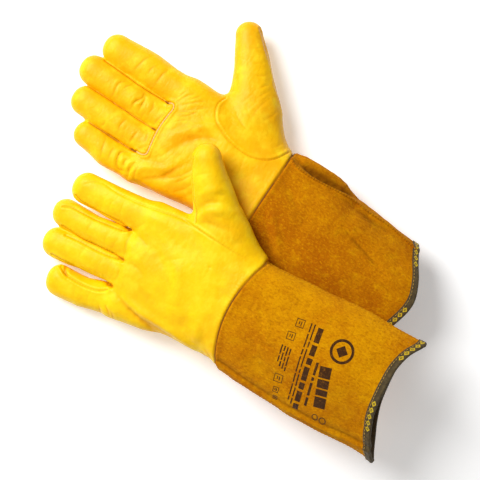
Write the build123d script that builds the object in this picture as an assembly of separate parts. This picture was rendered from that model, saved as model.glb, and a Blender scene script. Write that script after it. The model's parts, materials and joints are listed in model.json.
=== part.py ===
"""A pair of long leather TIG welding gloves: hand, four fingers, thumb and gauntlet cuff on each.

Each glove is modelled in its own frame, back of the hand up: origin at the wrist's centre, +X to the
thumb side, +Y to the fingertips, +Z out of the back. The right glove is the mirror image in Z, so it
lies palm up. Every sub-part is a leather, tape or thread piece with its real wall thickness.
"""

from build123d import *
import math
import os

# Materials, in millimetres.
LEATHER = 1.4
SUEDE = 1.8
TAPE = 1.0
WELT = 1.0
THREAD = 0.5
SEAM_WIDTH = 2.4
CLEAR = 0.6

# Hand: (y, least x, greatest x, half thickness, fullness); a fullness of 0.5 is an ellipse.
HAND = (
    (-1.0, -51.0, 51.0, 23.0, 0.42),
    (22.0, -47.5, 54.0, 22.0, 0.40),
    (50.0, -50.0, 58.0, 21.5, 0.38),
    (80.0, -52.0, 59.0, 20.0, 0.36),
    (105.0, -56.0, 59.0, 17.0, 0.34),
    (120.0, -58.0, 57.0, 14.0, 0.34),
)
SEAM_TILT = 7.5
FINGER_ROOT_Y = 108.0
HINGE_Y = 133.0
HINGE_DROP = 0.4
FINGER_FLEX = 60.0
FINGER_FLATNESS = 0.84
SIDE_STRIP = 4.5
STRIP_END = 10.0

# Fingers: x of the root, tip's y, half width at the root and near the tip.
FINGERS = {
    "index": (40.0, 192.0, 14.2, 13.2),
    "middle": (11.2, 203.0, 13.3, 12.6),
    "ring": (-16.2, 193.0, 13.1, 12.4),
    "little": (-43.2, 176.0, 12.9, 11.8),
}
PALM_SEAM = ((30.0, 118.0), (24.0, 114.0), (11.0, 111.5), (-3.0, 112.0), (-17.0, 111.5), (-31.0, 116.0))

# Thumb: root's centre, direction from +X, length to the tip, and half widths.
THUMB_ROOT = (46.0, 36.0)
THUMB_ANGLE = 39.5
THUMB_LENGTH = 104.0
THUMB_WIDE = 21.5
THUMB_NARROW = 11.8
THUMB_FLATNESS = 0.74
THUMB_HINGE = 44.0
THUMB_FLEX = 30.0
THUMB_LIFT = {"left": 5.0, "right": 0.0}
THUMB_SEAM = ((50.0, 84.0), (40.0, 79.5), (30.0, 66.0), (25.0, 45.0), (28.5, 21.0), (47.0, 5.0))

# Cuffs: stations as for the hand, from the wrist to past the hem, and the hem's line.
CUFF_TOP = -1.0
CUFFS = {
    "left": (
        (-1.0, -52.5, 52.5, 24.0, 0.44),
        (-40.0, -57.0, 54.5, 25.5, 0.48),
        (-80.0, -60.0, 55.5, 26.5, 0.55),
        (-120.0, -61.5, 55.5, 27.0, 0.62),
        (-175.0, -66.5, 53.5, 27.0, 0.70),
    ),
    "right": (
        (-1.0, -52.0, 52.5, 24.0, 0.44),
        (-40.0, -57.0, 54.0, 25.5, 0.48),
        (-80.0, -61.0, 50.0, 26.5, 0.55),
        (-120.0, -64.0, 47.0, 27.0, 0.62),
        (-175.0, -67.0, 43.5, 27.0, 0.70),
    ),
}
HEMS = {
    "left": ((-90.0, -168.0), (-63.0, -163.0), (-5.0, -147.0), (50.0, -159.0), (90.0, -166.0)),
    "right": ((-90.0, -146.0), (-62.0, -153.0), (-12.0, -168.0), (42.0, -146.0), (90.0, -136.0)),
}
CUFF_FLEX = 25.0
BINDING_WIDTH = 8.0
STITCH_LENGTH = 2.4
STITCH_PITCH = 3.8
STITCH_REACH = 43.0

# Yaw of each finger from its glove's +Y, in degrees, positive towards the little finger.
SPREAD = {
    "left": {"index": 1.0, "middle": 0.4, "ring": 2.2, "little": 5.0},
    "right": {"index": 0.0, "middle": 2.0, "ring": 2.2, "little": 2.6},
}

# How each glove lies: wrist x and y, height of the wrist's axis, then yaw, pitch (cuff up) and
# roll (thumb side up), in degrees.
LAY = {
    "left": (-82.0, -36.5, 45.9, 3.0, 9.2, 12.0),
    "right": (19.5, 0.0, 23.6, -4.0, 1.8, 0.0),
}

FAR = 400.0


def block(low, high):
    """A box from its lowest to its highest corner."""
    size = [h - l for l, h in zip(low, high)]
    middle = [(h + l) / 2 for l, h in zip(low, high)]
    return Pos(*middle) * Box(*size)


def section(station, inset):
    """The closed outline of one station, inset from the outer face."""
    y, low, high, thick, fullness = station
    middle, wide, thick = (low + high) / 2, (high - low) / 2 - inset, thick - inset
    angles = [math.radians(a) for a in (0, 12, 30, 55, 90, 125, 150, 168, 180)]
    half = [(middle + wide * math.cos(a), thick * math.sin(a) ** (2 * fullness)) for a in angles]
    upper = Spline(*[(x, y, z) for x, z in half])
    lower = Spline(*[(x, y, -z) for x, z in half])
    return Wire([upper, lower])


def tube(stations, inset):
    """The solid inside a body's outer face, inset from it (or outset, if negative)."""
    return Solid.make_loft([section(s, inset) for s in stations])


def stretched(stations, start, end):
    """The same stations with the first and last moved along Y."""
    return ((start, *stations[0][1:]), *stations[1:-1], (end, *stations[-1][1:]))


def digit(length, wide, narrow, flatness, inset):
    """A closed digit with a domed tip, along +Y from its root, flattened in Z."""
    root, end, shoulder = wide - inset, narrow - inset, length - narrow
    arc = end * math.sqrt(0.5)
    profile = Line((0, 0), (root, 0)) + Line((root, 0), (end, shoulder))
    profile += ThreePointArc((end, shoulder), (arc, shoulder + arc), (0, shoulder + end))
    profile += Line((0, shoulder + end), (0, 0))
    return scale(revolve(make_face(profile), Axis.Y, 360), by=(1, 1, flatness))


def apex(flex):
    """How far a fold's wedge starts beyond its hinge, to leave the clearance when it is closed."""
    return CLEAR / (2 * math.sin(math.radians(flex / 2)))


def wedge(at, pivot, depth, flex, height):
    """A fold's cut in (along, across) coordinates: a wedge below the hinge and a slit above it."""
    top = pivot + apex(flex)
    reach = (depth + top) * math.tan(math.radians(flex / 2))
    closing = Polygon((at, top), (at - reach, -depth), (at + reach, -depth), align=None)
    slit = Pos(at, (height + pivot) / 2) * Rectangle(CLEAR, height - pivot)
    return closing + slit


def palm_fold(at, thick, flex):
    """The cut of a fold that closes towards the palm."""
    profile = wedge(at, -HINGE_DROP * thick, thick + 4, flex, thick + 4)
    return extrude(Plane.YZ * profile, FAR / 2, both=True)


def back_fold(at, thick, flex):
    """The cut of a fold that closes towards the back of the hand."""
    return mirror(palm_fold(at, thick, flex), Plane.XY)


def thumb_fold():
    """The cut of the thumb's fold, which closes towards the index finger."""
    profile = wedge(THUMB_HINGE, 0, THUMB_WIDE + 6, THUMB_FLEX, THUMB_WIDE + 6)
    return extrude(Plane(origin=(0, 0, 0), x_dir=(0, 1, 0), z_dir=(0, 0, -1)) * profile, 60, both=True)


def parted(solid, cut):
    """What a fold leaves of a solid: the root's side and the tip's side, in that order along Y."""
    pieces = sorted((solid - cut).solids(), key=lambda s: s.center().Y)
    return pieces[0], pieces[-1]


def past_wrist(side):
    """The space on the hand's side of the wrist's fold."""
    space = block((-FAR / 4, -FAR / 4, -FAR / 8), (FAR / 4, FAR, FAR / 8))
    return parted(space, back_fold(CUFF_TOP, CUFFS[side][0][3], CUFF_FLEX))[1]


def finger_place(name, side):
    return Location((FINGERS[name][0], FINGER_ROOT_Y, 0), (0, 0, SPREAD[side][name]))


def thumb_place(side):
    """The thumb's frame; its lift is towards the back of the hand."""
    return Pos(*THUMB_ROOT, 0) * Rot(0, 0, THUMB_ANGLE - 90) * Rot(THUMB_LIFT[side], 0, 0)


def finger_solid(name, inset):
    _, tip, wide, narrow = FINGERS[name]
    return digit(tip - FINGER_ROOT_Y, wide, narrow, FINGER_FLATNESS, inset)


def thumb_solid(inset):
    return digit(THUMB_LENGTH, THUMB_WIDE, THUMB_NARROW, THUMB_FLATNESS, inset)


def finger_shells(name):
    """A finger's wall before and after its fold."""
    wide = FINGERS[name][2]
    cut = palm_fold(HINGE_Y - FINGER_ROOT_Y, wide * FINGER_FLATNESS, FINGER_FLEX)
    return parted(finger_solid(name, 0) - finger_solid(name, LEATHER), cut)


def finger_panels(name):
    """Back, front and fourchette of a finger; an outer finger's front wraps round its free side."""
    shell = finger_shells(name)[1]
    end = FINGERS[name][1] - FINGER_ROOT_Y - STRIP_END
    strip = block((-FAR, -FAR, -SIDE_STRIP), (FAR, end, SIDE_STRIP))
    if name == "index":
        strip &= block((-FAR, -FAR, -FAR), (0, FAR, FAR))
    if name == "little":
        strip &= block((0, -FAR, -FAR), (FAR, FAR, FAR))
    seam = {"index": SIDE_STRIP, "little": -SIDE_STRIP}.get(name, 0)
    rest = shell - strip
    back = rest & block((-FAR, -FAR, seam), (FAR, FAR, FAR))
    front = rest & block((-FAR, -FAR, -FAR), (FAR, FAR, seam))
    return {"back": back, "front": front, "fourchette": shell & strip}


def fingers(side):
    """Every finger's panels past the knuckle fold."""
    return {
        f"{name}_{panel}": finger_place(name, side) * solid
        for name in FINGERS
        for panel, solid in finger_panels(name).items()
    }


def back_half():
    """The back panel's side of the hand: its seam is nearer the back along the thumb's edge."""
    return Rot(0, -SEAM_TILT, 0) * block((-FAR, -FAR, 0), (FAR, FAR, FAR))


def ridge(outline, width, surface):
    """A raised edge of leather along a line drawn on the palm, standing on the given surface."""
    path = Spline(*outline)
    points = [path @ (i / 12) for i in range(13)]
    strip = make_face(offset(Polyline(*points), width / 2, kind=Kind.INTERSECTION, side=Side.BOTH))
    return (tube(HAND, -WELT) & Pos(0, 0, -FAR) * extrude(strip, FAR)) - surface


def hand(side):
    """Palm, back and thumb gusset, with the roots of the fingers, and the welts between them."""
    solid = tube(HAND, 0)
    cavity = tube(stretched(HAND, HAND[0][0] - 1, HAND[-1][0] - LEATHER), LEATHER)
    insides = [finger_place(name, side) * finger_solid(name, LEATHER) for name in FINGERS]
    roots = [finger_place(name, side) * finger_shells(name)[0] - solid for name in FINGERS]
    wall = solid - cavity - insides - thumb_place(side) * thumb_solid(LEATHER)
    shell = (wall & past_wrist(side)) + roots
    gusset = parted(thumb_solid(0) - thumb_solid(LEATHER), thumb_fold())[0]
    wrist_edge = past_wrist(side) - Pos(0, SEAM_WIDTH, 0) * past_wrist(side)
    thumb = thumb_place(side) * thumb_solid(0)
    return {
        "back_panel": shell & back_half(),
        "palm_panel": shell - back_half(),
        "thumb_gusset": thumb_place(side) * gusset - solid,
        "palm_welt": ridge(PALM_SEAM, 1.6, solid),
        "thumb_welt": ridge(THUMB_SEAM, 1.6, solid) - thumb,
        "wrist_seam": (tube(HAND, -WELT) & wrist_edge) - solid,
    }


def thumb(side):
    """The thumb past its fold, in a front and a back."""
    tip = parted(thumb_solid(0) - thumb_solid(LEATHER), thumb_fold())[1]
    back = tip & block((-FAR, -FAR, 0), (FAR, FAR, FAR))
    return {"thumb_back": thumb_place(side) * back, "thumb_front": thumb_place(side) * (tip - back)}


def hem_side(side, shift):
    """The wrist's side of the hem's line, moved along Y."""
    line = [(x, y + shift) for x, y in HEMS[side]]
    outline = Spline(*line) + Polyline(line[-1], (line[-1][0], FAR), (line[0][0], FAR), line[0])
    return extrude(make_face(outline), FAR, both=True)


def hem_y(side, x):
    """The hem's y at one x, read off the line itself."""
    return Spline(*HEMS[side]).intersect(Line((x, -FAR), (x, FAR)))[0].Y


def stitch_bars(side):
    """Upright bars along the binding's inner edge, one for each stitch."""
    count = int(2 * STITCH_REACH / STITCH_PITCH)
    bars = []
    for i in range(count + 1):
        x = -STITCH_REACH - 6 + i * STITCH_PITCH
        y = hem_y(side, x) + BINDING_WIDTH - 2
        bars.append(Pos(x, y, 0) * Box(STITCH_LENGTH, 0.8, FAR))
    return bars


def cuff(side):
    """The gauntlet: two suede panels, their side seams, and the stitched binding of the hem."""
    stations = CUFFS[side]
    solid = tube(stations, 0)
    cavity = tube(stretched(stations, CUFF_TOP + 1, -FAR / 2), SUEDE)
    wall = (solid - cavity - back_fold(CUFF_TOP, stations[0][3], CUFF_FLEX)) & hem_side(side, TAPE)
    edge = hem_side(side, 0) - hem_side(side, BINDING_WIDTH)
    longer = stretched(stations, CUFF_TOP, -FAR / 2)
    tape = (tube(stations, -TAPE) & edge) - tube(longer, SUEDE + TAPE)
    thread = (tube(stations, -TAPE - THREAD) & edge) - tube(longer, -TAPE)
    rim = tube(stations, -TAPE) & block((-FAR, -FAR, -1.2), (FAR, -12, 1.2))
    rim = (rim - solid) & hem_side(side, BINDING_WIDTH + 0.5)
    return {
        "cuff_back_panel": wall & block((-FAR, -FAR, 0), (FAR, FAR, FAR)),
        "cuff_palm_panel": wall & block((-FAR, -FAR, -FAR), (FAR, FAR, 0)),
        "cuff_seam_thumb_side": rim & block((0, -FAR, -FAR), (FAR, FAR, FAR)),
        "cuff_seam_little_side": rim & block((-FAR, -FAR, -FAR), (0, FAR, FAR)),
        "cuff_binding": tape - wall,
        "binding_stitching": (thread & Compound(stitch_bars(side))) - tape,
    }


def lay(side):
    """Where a glove lies in the pair's frame."""
    x, y, z, yaw, pitch, roll = LAY[side]
    return Pos(x, y, z) * Rot(0, 0, yaw) * Rot(-pitch, 0, 0) * Rot(0, -roll, 0)


def glove(side):
    pieces = hand(side) | fingers(side) | thumb(side) | cuff(side)
    if side == "right":
        pieces = {name: mirror(piece, Plane.XY) for name, piece in pieces.items()}
    return {f"{side}_{name}": lay(side) * piece for name, piece in pieces.items()}


def pair():
    """Both gloves, with the origin at the bottom centre of their box."""
    pieces = glove("left") | glove("right")
    box = Compound(list(pieces.values())).bounding_box()
    centre = Pos(-box.center().X, -box.center().Y, -box.min.Z)
    return {name: centre * piece for name, piece in pieces.items()}


os.makedirs("parts", exist_ok=True)
for name, piece in pair().items():
    export_step(piece, f"parts/{name}.step")
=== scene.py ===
"""A pair of leather welding gloves: one lies palm up, the other palm down across it."""
import bpy
import json
import math
import numpy as np
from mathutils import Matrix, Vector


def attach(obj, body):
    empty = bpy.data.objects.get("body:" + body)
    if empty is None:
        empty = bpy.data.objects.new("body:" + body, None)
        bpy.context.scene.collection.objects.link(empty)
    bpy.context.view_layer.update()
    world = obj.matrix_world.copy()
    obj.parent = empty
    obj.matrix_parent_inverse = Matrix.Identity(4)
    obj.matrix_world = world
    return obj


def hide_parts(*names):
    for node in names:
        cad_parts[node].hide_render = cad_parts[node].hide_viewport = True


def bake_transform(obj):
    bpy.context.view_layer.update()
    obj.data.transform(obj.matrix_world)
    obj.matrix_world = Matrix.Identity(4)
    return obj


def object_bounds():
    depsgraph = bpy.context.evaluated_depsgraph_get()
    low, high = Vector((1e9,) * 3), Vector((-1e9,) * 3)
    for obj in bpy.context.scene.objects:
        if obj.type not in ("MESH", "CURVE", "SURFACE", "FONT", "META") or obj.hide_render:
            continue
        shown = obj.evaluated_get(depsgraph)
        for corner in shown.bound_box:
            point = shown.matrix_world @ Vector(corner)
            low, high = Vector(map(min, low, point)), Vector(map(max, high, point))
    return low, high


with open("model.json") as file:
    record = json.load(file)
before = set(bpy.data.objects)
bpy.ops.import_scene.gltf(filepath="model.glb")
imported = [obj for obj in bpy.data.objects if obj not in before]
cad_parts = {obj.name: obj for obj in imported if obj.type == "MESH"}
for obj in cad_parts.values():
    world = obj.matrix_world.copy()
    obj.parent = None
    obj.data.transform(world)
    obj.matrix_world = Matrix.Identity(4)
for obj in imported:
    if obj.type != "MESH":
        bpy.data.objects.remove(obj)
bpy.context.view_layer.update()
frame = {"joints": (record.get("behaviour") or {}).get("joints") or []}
import openvdb
from mathutils import Matrix, Vector
from mathutils.bvhtree import BVHTree

PI = math.pi
# Millimetres: the hand's grid, how far the inner faces lie under the outer ones, and a seam's stitches.
VOXEL = 1.4
LEATHER_WALL, SUEDE_WALL = 1.7, 1.8
SEAM_PITCH = 2.8
# How deep both edges dip under the wrist's seam, and the most painted shade in a fold.
WRIST_DIP, MOST_FOLD_SHADE = 1.3, 1.6
# Rounds of relaxing for the hand's surface and for the hidden sides of the fingers.
HAND_ROUNDS, WALL_ROUNDS = 6, 4
# The studio: the camera's place, the light from all round, and the floor's own.
CAMERA_AT, AMBIENT, FLOOR_GLOW = (-0.0261, 0.0003, 1.258), 0.28, 0.28

# ---------------------------------------------------------------- placing
# Each glove has its own millimetre coordinates: x to the thumb side, y to the fingertips, z up.
# Yaw, pitch (cuff up) and roll (thumb side up) of each glove, as the CAD lays them.
TURN = {"left": (3.0, 9.2, 12.0), "right": (-4.0, 1.8, 0.0)}
WRIST = {"left": (0.0, -1.0, 9.6), "right": (0.0, -1.0, -9.6)}
JOINTS = {j["name"]: j for j in frame["joints"]}


def turn(axis, degrees):
    c, s = math.cos(math.radians(degrees)), math.sin(math.radians(degrees))
    return np.array({"x": [[1, 0, 0], [0, c, -s], [0, s, c]], "y": [[c, 0, s], [0, 1, 0], [-s, 0, c]],
                     "z": [[c, -s, 0], [s, c, 0], [0, 0, 1]]}[axis])


def placing(side):
    """Rotation, and the origin in metres, of a glove: the wrist's hinge fixes it."""
    yaw, pitch, roll = TURN[side]
    m = turn("z", yaw) @ turn("x", -pitch) @ turn("y", -roll)
    hinge = np.array(JOINTS[f"{side}_wrist_fold"]["pos_m"])
    return m, hinge - m @ (np.array(WRIST[side]) / 1000)


PLACE = {side: placing(side) for side in ("left", "right")}


def to_row(side, points):
    m, origin = PLACE[side]
    return np.asarray(points, float) @ m.T / 1000 + origin


def row_point(side, x, y):
    return tuple(to_row(side, [(x, y, 0.0)])[0])


# ---------------------------------------------------------------- curves and strokes
def smooth_path(points, step=1.5):
    """A Catmull-Rom curve through the points, resampled about every step mm."""
    p = np.asarray(points, float)
    p = np.vstack([2 * p[0] - p[1], p, 2 * p[-1] - p[-2]])
    out = []
    for a, b, c, d in zip(p[:-3], p[1:-2], p[2:-1], p[3:]):
        n = max(2, int(np.linalg.norm(c - b) / step))
        t = np.linspace(0, 1, n, endpoint=False)[:, None]
        out.append(0.5 * (2 * b + (c - a) * t + (2 * a - 5 * b + 4 * c - d) * t**2
                          + (3 * b - a - 3 * c + d) * t**3))
    return np.vstack(out + [p[-2:-1]])


def along(path, xy, reach):
    """Distance to a path, signed side, and how far along it, for the points within reach."""
    lo, hi = path.min(0) - reach, path.max(0) + reach
    near = np.nonzero(((xy > lo) & (xy < hi)).all(1))[0]
    best = np.full(len(near), 1e9)
    sign, run = np.ones(len(near)), np.zeros(len(near))
    length = 0.0
    q = xy[near]
    for a, b in zip(path[:-1], path[1:]):
        d = b - a
        size = np.linalg.norm(d)
        t = np.clip((q - a) @ d / size**2, 0, 1)
        off = q - a - t[:, None] * d
        dist = np.hypot(off[:, 0], off[:, 1])
        m = dist < best
        best[m] = dist[m]
        sign[m] = np.sign(d[0] * off[m, 1] - d[1] * off[m, 0])
        run[m] = length + t[m] * size
        length += size
    return near, best, sign, run, length


def bell(d, w):
    return np.exp(-((d / w) ** 2))


class Skin:
    """Vertices of one surface in glove coordinates, with what is raised on them and the painted shade in their folds.
    """

    def __init__(self, co, normal):
        self.co, self.normal = co, normal
        self.rise = np.zeros(len(co))
        self.fold = np.zeros(len(co))
        self.top = np.clip(normal[:, 2] * 3 + 0.5, 0, 1)

    def mark(self, points, profile, reach, face=1, painted_shade=0.0, ends=True, width=1.0):
        """Add profile(distance, side, run), and painted shade along the line, on the upper (1), its flatter part (2),
        lower (-1) or both (0) faces.
        """
        near, d, side, run, length = along(smooth_path(points), self.co[:, :2], reach)
        level = np.clip(self.normal[near, 2] * 2.4 - 0.55, 0, 1)
        weight = {2: level, 1: self.top[near], -1: 1 - self.top[near], 0: np.ones(len(near))}[face]
        if ends:
            weight = weight * np.clip(np.sin(PI * np.clip(run / length, 0.02, 0.98)), 0, 1) ** 0.6
        self.rise[near] += weight * profile(d, side, run)
        # Painted shade along the mark, darkest on its line: the fold attribute darkens the colour there.
        self.fold[near] += weight * painted_shade * bell(d, width * 1.3)

    def crease(self, points, depth, width, face=1, painted_shade=0.5, ends=True):
        """A fold's valley with soft lips, and painted shade along it."""
        phase = points[0][0] * 0.7 + points[0][1]

        def profile(d, side, run):
            vary = 0.82 + 0.18 * np.sin(run * 0.55 + phase) * np.cos(run * 0.23 + 2 * phase)
            valley = 0.55 * bell(d, 0.6 * width) + 0.45 * bell(d, 1.5 * width)
            return vary * depth * (-valley + 0.34 * bell(d - 2.3 * width, 1.2 * width))
        self.mark(points, profile, 6 * width, face, painted_shade, ends, 0.62 * width)

    def draw(self, strokes):
        """Valleys (height below zero) and ridges on the upper face: (height, width, painted shade, points)."""
        for height, width, painted_shade, points in strokes:
            if height < 0:
                self.crease(points, -height, width, painted_shade=painted_shade)
            else:
                self.ridge(points, height, width, painted_shade=painted_shade)

    def ridge(self, points, height, width, face=1, ends=True, painted_shade=0.0):
        self.mark(points, lambda d, s, r: height * bell(d, width), 4 * width, face, painted_shade, ends, width)

    def seam(self, points, face=1, depth=0.9, width=0.75, lips=0.4, pucker=0.2, raised=0, ends=False,
             painted_shade=0.5):
        """A turned seam: a fine groove between two rolled lips that pucker at each stitch, with painted shade in the
        groove.
        """
        def profile(d, side, run):
            lip = lips * bell(d - 2.2, 1.5) * (1 + raised * side)
            beat = 1 + pucker * np.cos(2 * PI * run / SEAM_PITCH)
            return -depth * bell(d, width) * beat + lip * (1 + 0.14 * np.cos(2 * PI * run / SEAM_PITCH + 1))
        self.mark(points, profile, 8, face, painted_shade, ends, 0.7 * width)


def lattice(p, scale, seed):
    """Smooth value noise of millimetre points, from -1 to 1."""
    q = np.asarray(p) / scale
    base = np.floor(q).astype(np.int64)
    f = q - base
    f = f * f * (3 - 2 * f)
    total = 0.0
    for corner in range(8):
        o = np.array([corner & 1, corner >> 1 & 1, corner >> 2])
        k = base + o
        h = (k[:, 0] * 73856093) ^ (k[:, 1] * 19349663) ^ (k[:, 2] * 83492791) ^ (seed * 2654435761)
        h = (h ^ (h >> 13)) * 1274126177 & 0x7FFFFFFF
        value = (h % 20011) / 10005.5 - 1
        total = total + value * np.prod(np.where(o == 1, f, 1 - f), axis=1)
    return total


def crinkle(p, scale, seed, sharp=7):
    """Fine creases that wander and meet, from 0 between them to 1 at their bottom."""
    warp = np.stack([lattice(p, scale * 1.7, seed + k) for k in range(3)], 1) * scale * 0.55
    return (1 - np.abs(lattice(p + warp, scale, seed + 5))) ** sharp


# ---------------------------------------------------------------- the hand's form
# Digits: (x, y, z, half width, half thickness) from root to the start of the tip, and the tip's cap.
DIGITS = {
    "left": {
        "index": ([(42.4, 96, 0, 15.6, 13.0), (41.5, 124, 0, 16.0, 12.9), (40.0, 155, 0, 15.9, 12.2),
                   (40.2, 181, -0.5, 15.1, 11.2)], 14),
        "middle": ([(11, 96, 0, 13.0, 13.4), (11, 128, 0.4, 13.1, 12.9), (9.2, 160, 0.6, 12.9, 12.2),
                    (9.2, 189, 0, 13.6, 11.2)], 14),
        "ring": ([(-15, 96, 0, 13.2, 13.2), (-15.8, 126, 0.3, 13.2, 12.8), (-17.6, 156, 0.8, 14.0, 12.1),
                  (-19.0, 186, 0.8, 14.9, 11.2)], 14),
        "little": ([(-40, 92, -0.8, 14.2, 12.4), (-44.1, 120, -0.4, 14.5, 12.2), (-50.0, 145, 0.8, 14.2, 11.6),
                    (-50.2, 169, 1.6, 15.0, 10.8)], 14),
        "thumb": ([(42, 26, -2, 25, 15), (60, 44, 1.5, 23.5, 15.5), (75.5, 59.4, 3.6, 21.3, 14.8),
                   (99.5, 78, 6.4, 17.0, 14.2), (115, 87.6, 7.6, 13.4, 12.2)], 15),
    },
    "right": {
        "index": ([(41, 92, 0, 14.5, 13.0), (41, 122, 0.5, 15.8, 13.2), (41.0, 152, 0, 16.2, 12.6),
                   (40.2, 189, -0.5, 14.4, 11.4)], 14),
        "middle": ([(11.5, 92, 0, 13.4, 13.0), (11.5, 120, 1.0, 14.6, 13.2), (12, 160, 0.4, 14.8, 12.6),
                    (12.2, 196, 0, 14.2, 11.4)], 14),
        "ring": ([(-16, 92, 0, 13.4, 13.0), (-16, 120, 1.0, 14.4, 13.0), (-16.5, 152, 0.3, 14.9, 12.4),
                  (-16.2, 187, 0, 14.3, 11.2)], 14),
        "little": ([(-37.2, 92, 0, 10.4, 12.2), (-40.6, 120, 0, 13.2, 12.4), (-42.8, 145, 0, 14.0, 11.8),
                    (-40.8, 169, -0.4, 13.2, 10.8)], 13),
        "thumb": ([(39, 31, -1, 23.5, 15.5), (59.5, 47, 0, 24.2, 16), (75, 60, 0.5, 22.2, 15.4),
                   (99.2, 78.4, 0.5, 17.0, 13.2), (118.3, 94.4, 0.5, 12.9, 11.4)], 15),
    },
}
# Hand: (y, least x, greatest x, upper and lower half thickness, squareness).
HAND = {
    "left": [(-16, -53, 53.5, 22.5, 22.5, 2.3), (0, -51.5, 53.5, 22.5, 22.5, 2.35), (22, -47.5, 55.5, 21.5, 22, 2.4),
             (50, -50, 58, 21, 21.5, 2.5), (80, -51.5, 58, 19, 20, 2.5), (105, -53.5, 56.5, 16.5, 17, 2.5),
             (122, -55.5, 55, 13.8, 13.8, 2.5)],
    "right": [(-16, -52, 51.5, 22.5, 22.5, 2.3), (0, -50, 50, 22.5, 22.5, 2.35), (22, -47, 52, 21.5, 22, 2.4),
              (50, -44.2, 56, 21.5, 21, 2.5), (80, -44.8, 58.5, 20, 19.5, 2.5), (105, -47.4, 57, 17.5, 16, 2.5),
              (120, -53.5, 56, 14, 13.5, 2.5)],
}


def sections(table, y):
    t = np.array(table, float)
    order = np.argsort(t[:, 0])
    t = t[order]
    return [np.interp(y, t[:, 0], t[:, k]) for k in range(1, t.shape[1])]


def digit_field(P, path, cap, power=2.15):
    """A distance-like field of a flattened digit that follows its path and ends in a rounded cap."""
    path = np.array(path, float)
    best = np.full(P.shape[:-1], 1e9)
    field = np.zeros(P.shape[:-1])
    for i, (a, b) in enumerate(zip(path[:-1], path[1:])):
        d = b[:2] - a[:2]
        size = np.linalg.norm(d)
        raw = ((P[..., 0] - a[0]) * d[0] + (P[..., 1] - a[1]) * d[1]) / size**2
        t = np.clip(raw, 0, 1)
        off_x, off_y = P[..., 0] - a[0] - t * d[0], P[..., 1] - a[1] - t * d[1]
        side = (-off_x * d[1] + off_y * d[0]) / size
        z, wide, thick = (a[k] + t * (b[k] - a[k]) for k in (2, 3, 4))
        over = np.maximum(raw - 1, 0) * size if i == len(path) - 2 else np.maximum(-raw, 0) * size * 0.4
        if i not in (0, len(path) - 2):
            over = 0 * over
        q = (np.abs(side / wide) ** power + np.abs((P[..., 2] - z) / thick) ** power
             + (over / cap) ** (power * 1.05)) ** (1 / power)
        dist = np.hypot(off_x, off_y)
        m = dist < best - 1e-6
        best = np.where(m, dist, best)
        field = np.where(m, (q - 1) * np.minimum(wide, thick), field)
    return field


def hand_field(P, side):
    y = P[..., 1]
    low, high, up, down, power = sections(HAND[side], y)
    mid, half = (low + high) / 2, (high - low) / 2
    thick = np.where(P[..., 2] > 0, up, down)
    ends = np.maximum(y - 108, 0) / 13.5
    q = np.abs((P[..., 0] - mid) / half) ** (power + 0.5) + np.abs(P[..., 2] / thick) ** 2.1 + ends**2.6
    return (q ** (1 / 2.2) - 1) * thick * 0.8


def blend_min(a, b, k):
    h = np.clip(0.5 + 0.5 * (b - a) / k, 0, 1)
    return b * (1 - h) + a * h - k * h * (1 - h)


def grid_points(low, high):
    """Points every VOXEL in a box."""
    low = np.array(low)
    counts = np.ceil((np.array(high) - low) / VOXEL).astype(int)
    axes = [low[k] + VOXEL * np.arange(counts[k]) for k in range(3)]
    return np.stack(np.meshgrid(*axes, indexing="ij"), -1)


def zero_surface(field, low):
    """Points and quads where a field over such a grid is zero."""
    grid = openvdb.FloatGrid(30.0)
    grid.copyFromArray(field.astype(np.float32))
    points, quads = grid.convertToQuads(isovalue=0.0)
    return points * VOXEL + np.array(low), quads


def hand_mesh(side):
    """The leather's outer face as quads, from the union of palm, fingers and thumb."""
    low = (-72.0, -14.0, -30.0)
    P = grid_points(low, (142.0, 214.0, 32.0))
    palm = hand_field(P, side)
    digits = {name: digit_field(P, *spec) for name, spec in DIGITS[side].items()}
    fingers = digits["index"]
    for name in ("middle", "ring", "little"):
        fingers = blend_min(fingers, digits[name], 1.0)
    field = blend_min(palm, fingers, 7.0)
    field = blend_min(field, digits["thumb"], 9.0)
    return zero_surface(field, low)


def tidy_mesh(points, quads, rounds):
    """Relax the grid's steps, then subdivide once; returns the relaxed points, and the finer vertices and faces."""
    a, b = quads, np.roll(quads, -1, axis=1)
    edges = np.unique(np.sort(np.stack([a.ravel(), b.ravel()], 1), axis=1), axis=0)
    count = np.bincount(edges.ravel(), minlength=len(points))[:, None]
    for i in range(rounds):
        total = np.zeros_like(points)
        np.add.at(total, edges[:, 0], points[edges[:, 1]])
        np.add.at(total, edges[:, 1], points[edges[:, 0]])
        points = points + (0.55 if i % 2 == 0 else -0.57) * (total / count - points)
    mesh = bpy.data.meshes.new("work")
    mesh.from_pydata(points.tolist(), [], quads.tolist())
    obj = add_object("work", mesh)
    sub = obj.modifiers.new("sub", "SUBSURF")
    sub.levels = sub.render_levels = 1
    done = bpy.data.meshes.new_from_object(obj.evaluated_get(bpy.context.evaluated_depsgraph_get()))
    co = np.zeros(len(done.vertices) * 3)
    done.vertices.foreach_get("co", co)
    faces = np.zeros(len(done.loops), np.int32)
    done.loops.foreach_get("vertex_index", faces)
    bpy.data.objects.remove(obj)
    bpy.data.meshes.remove(mesh)
    bpy.data.meshes.remove(done)
    return points, co.reshape(-1, 3), faces.reshape(-1, 4)


def add_object(name, data):
    obj = bpy.data.objects.new(name, data)
    bpy.context.scene.collection.objects.link(obj)
    return obj


def vertex_normals(co, faces):
    n = np.cross(co[faces[:, 2]] - co[faces[:, 0]], co[faces[:, 3]] - co[faces[:, 1]])
    out = np.zeros_like(co)
    for k in range(4):
        np.add.at(out, faces[:, k], n)
    return out / np.maximum(np.linalg.norm(out, axis=1, keepdims=True), 1e-9)


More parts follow.
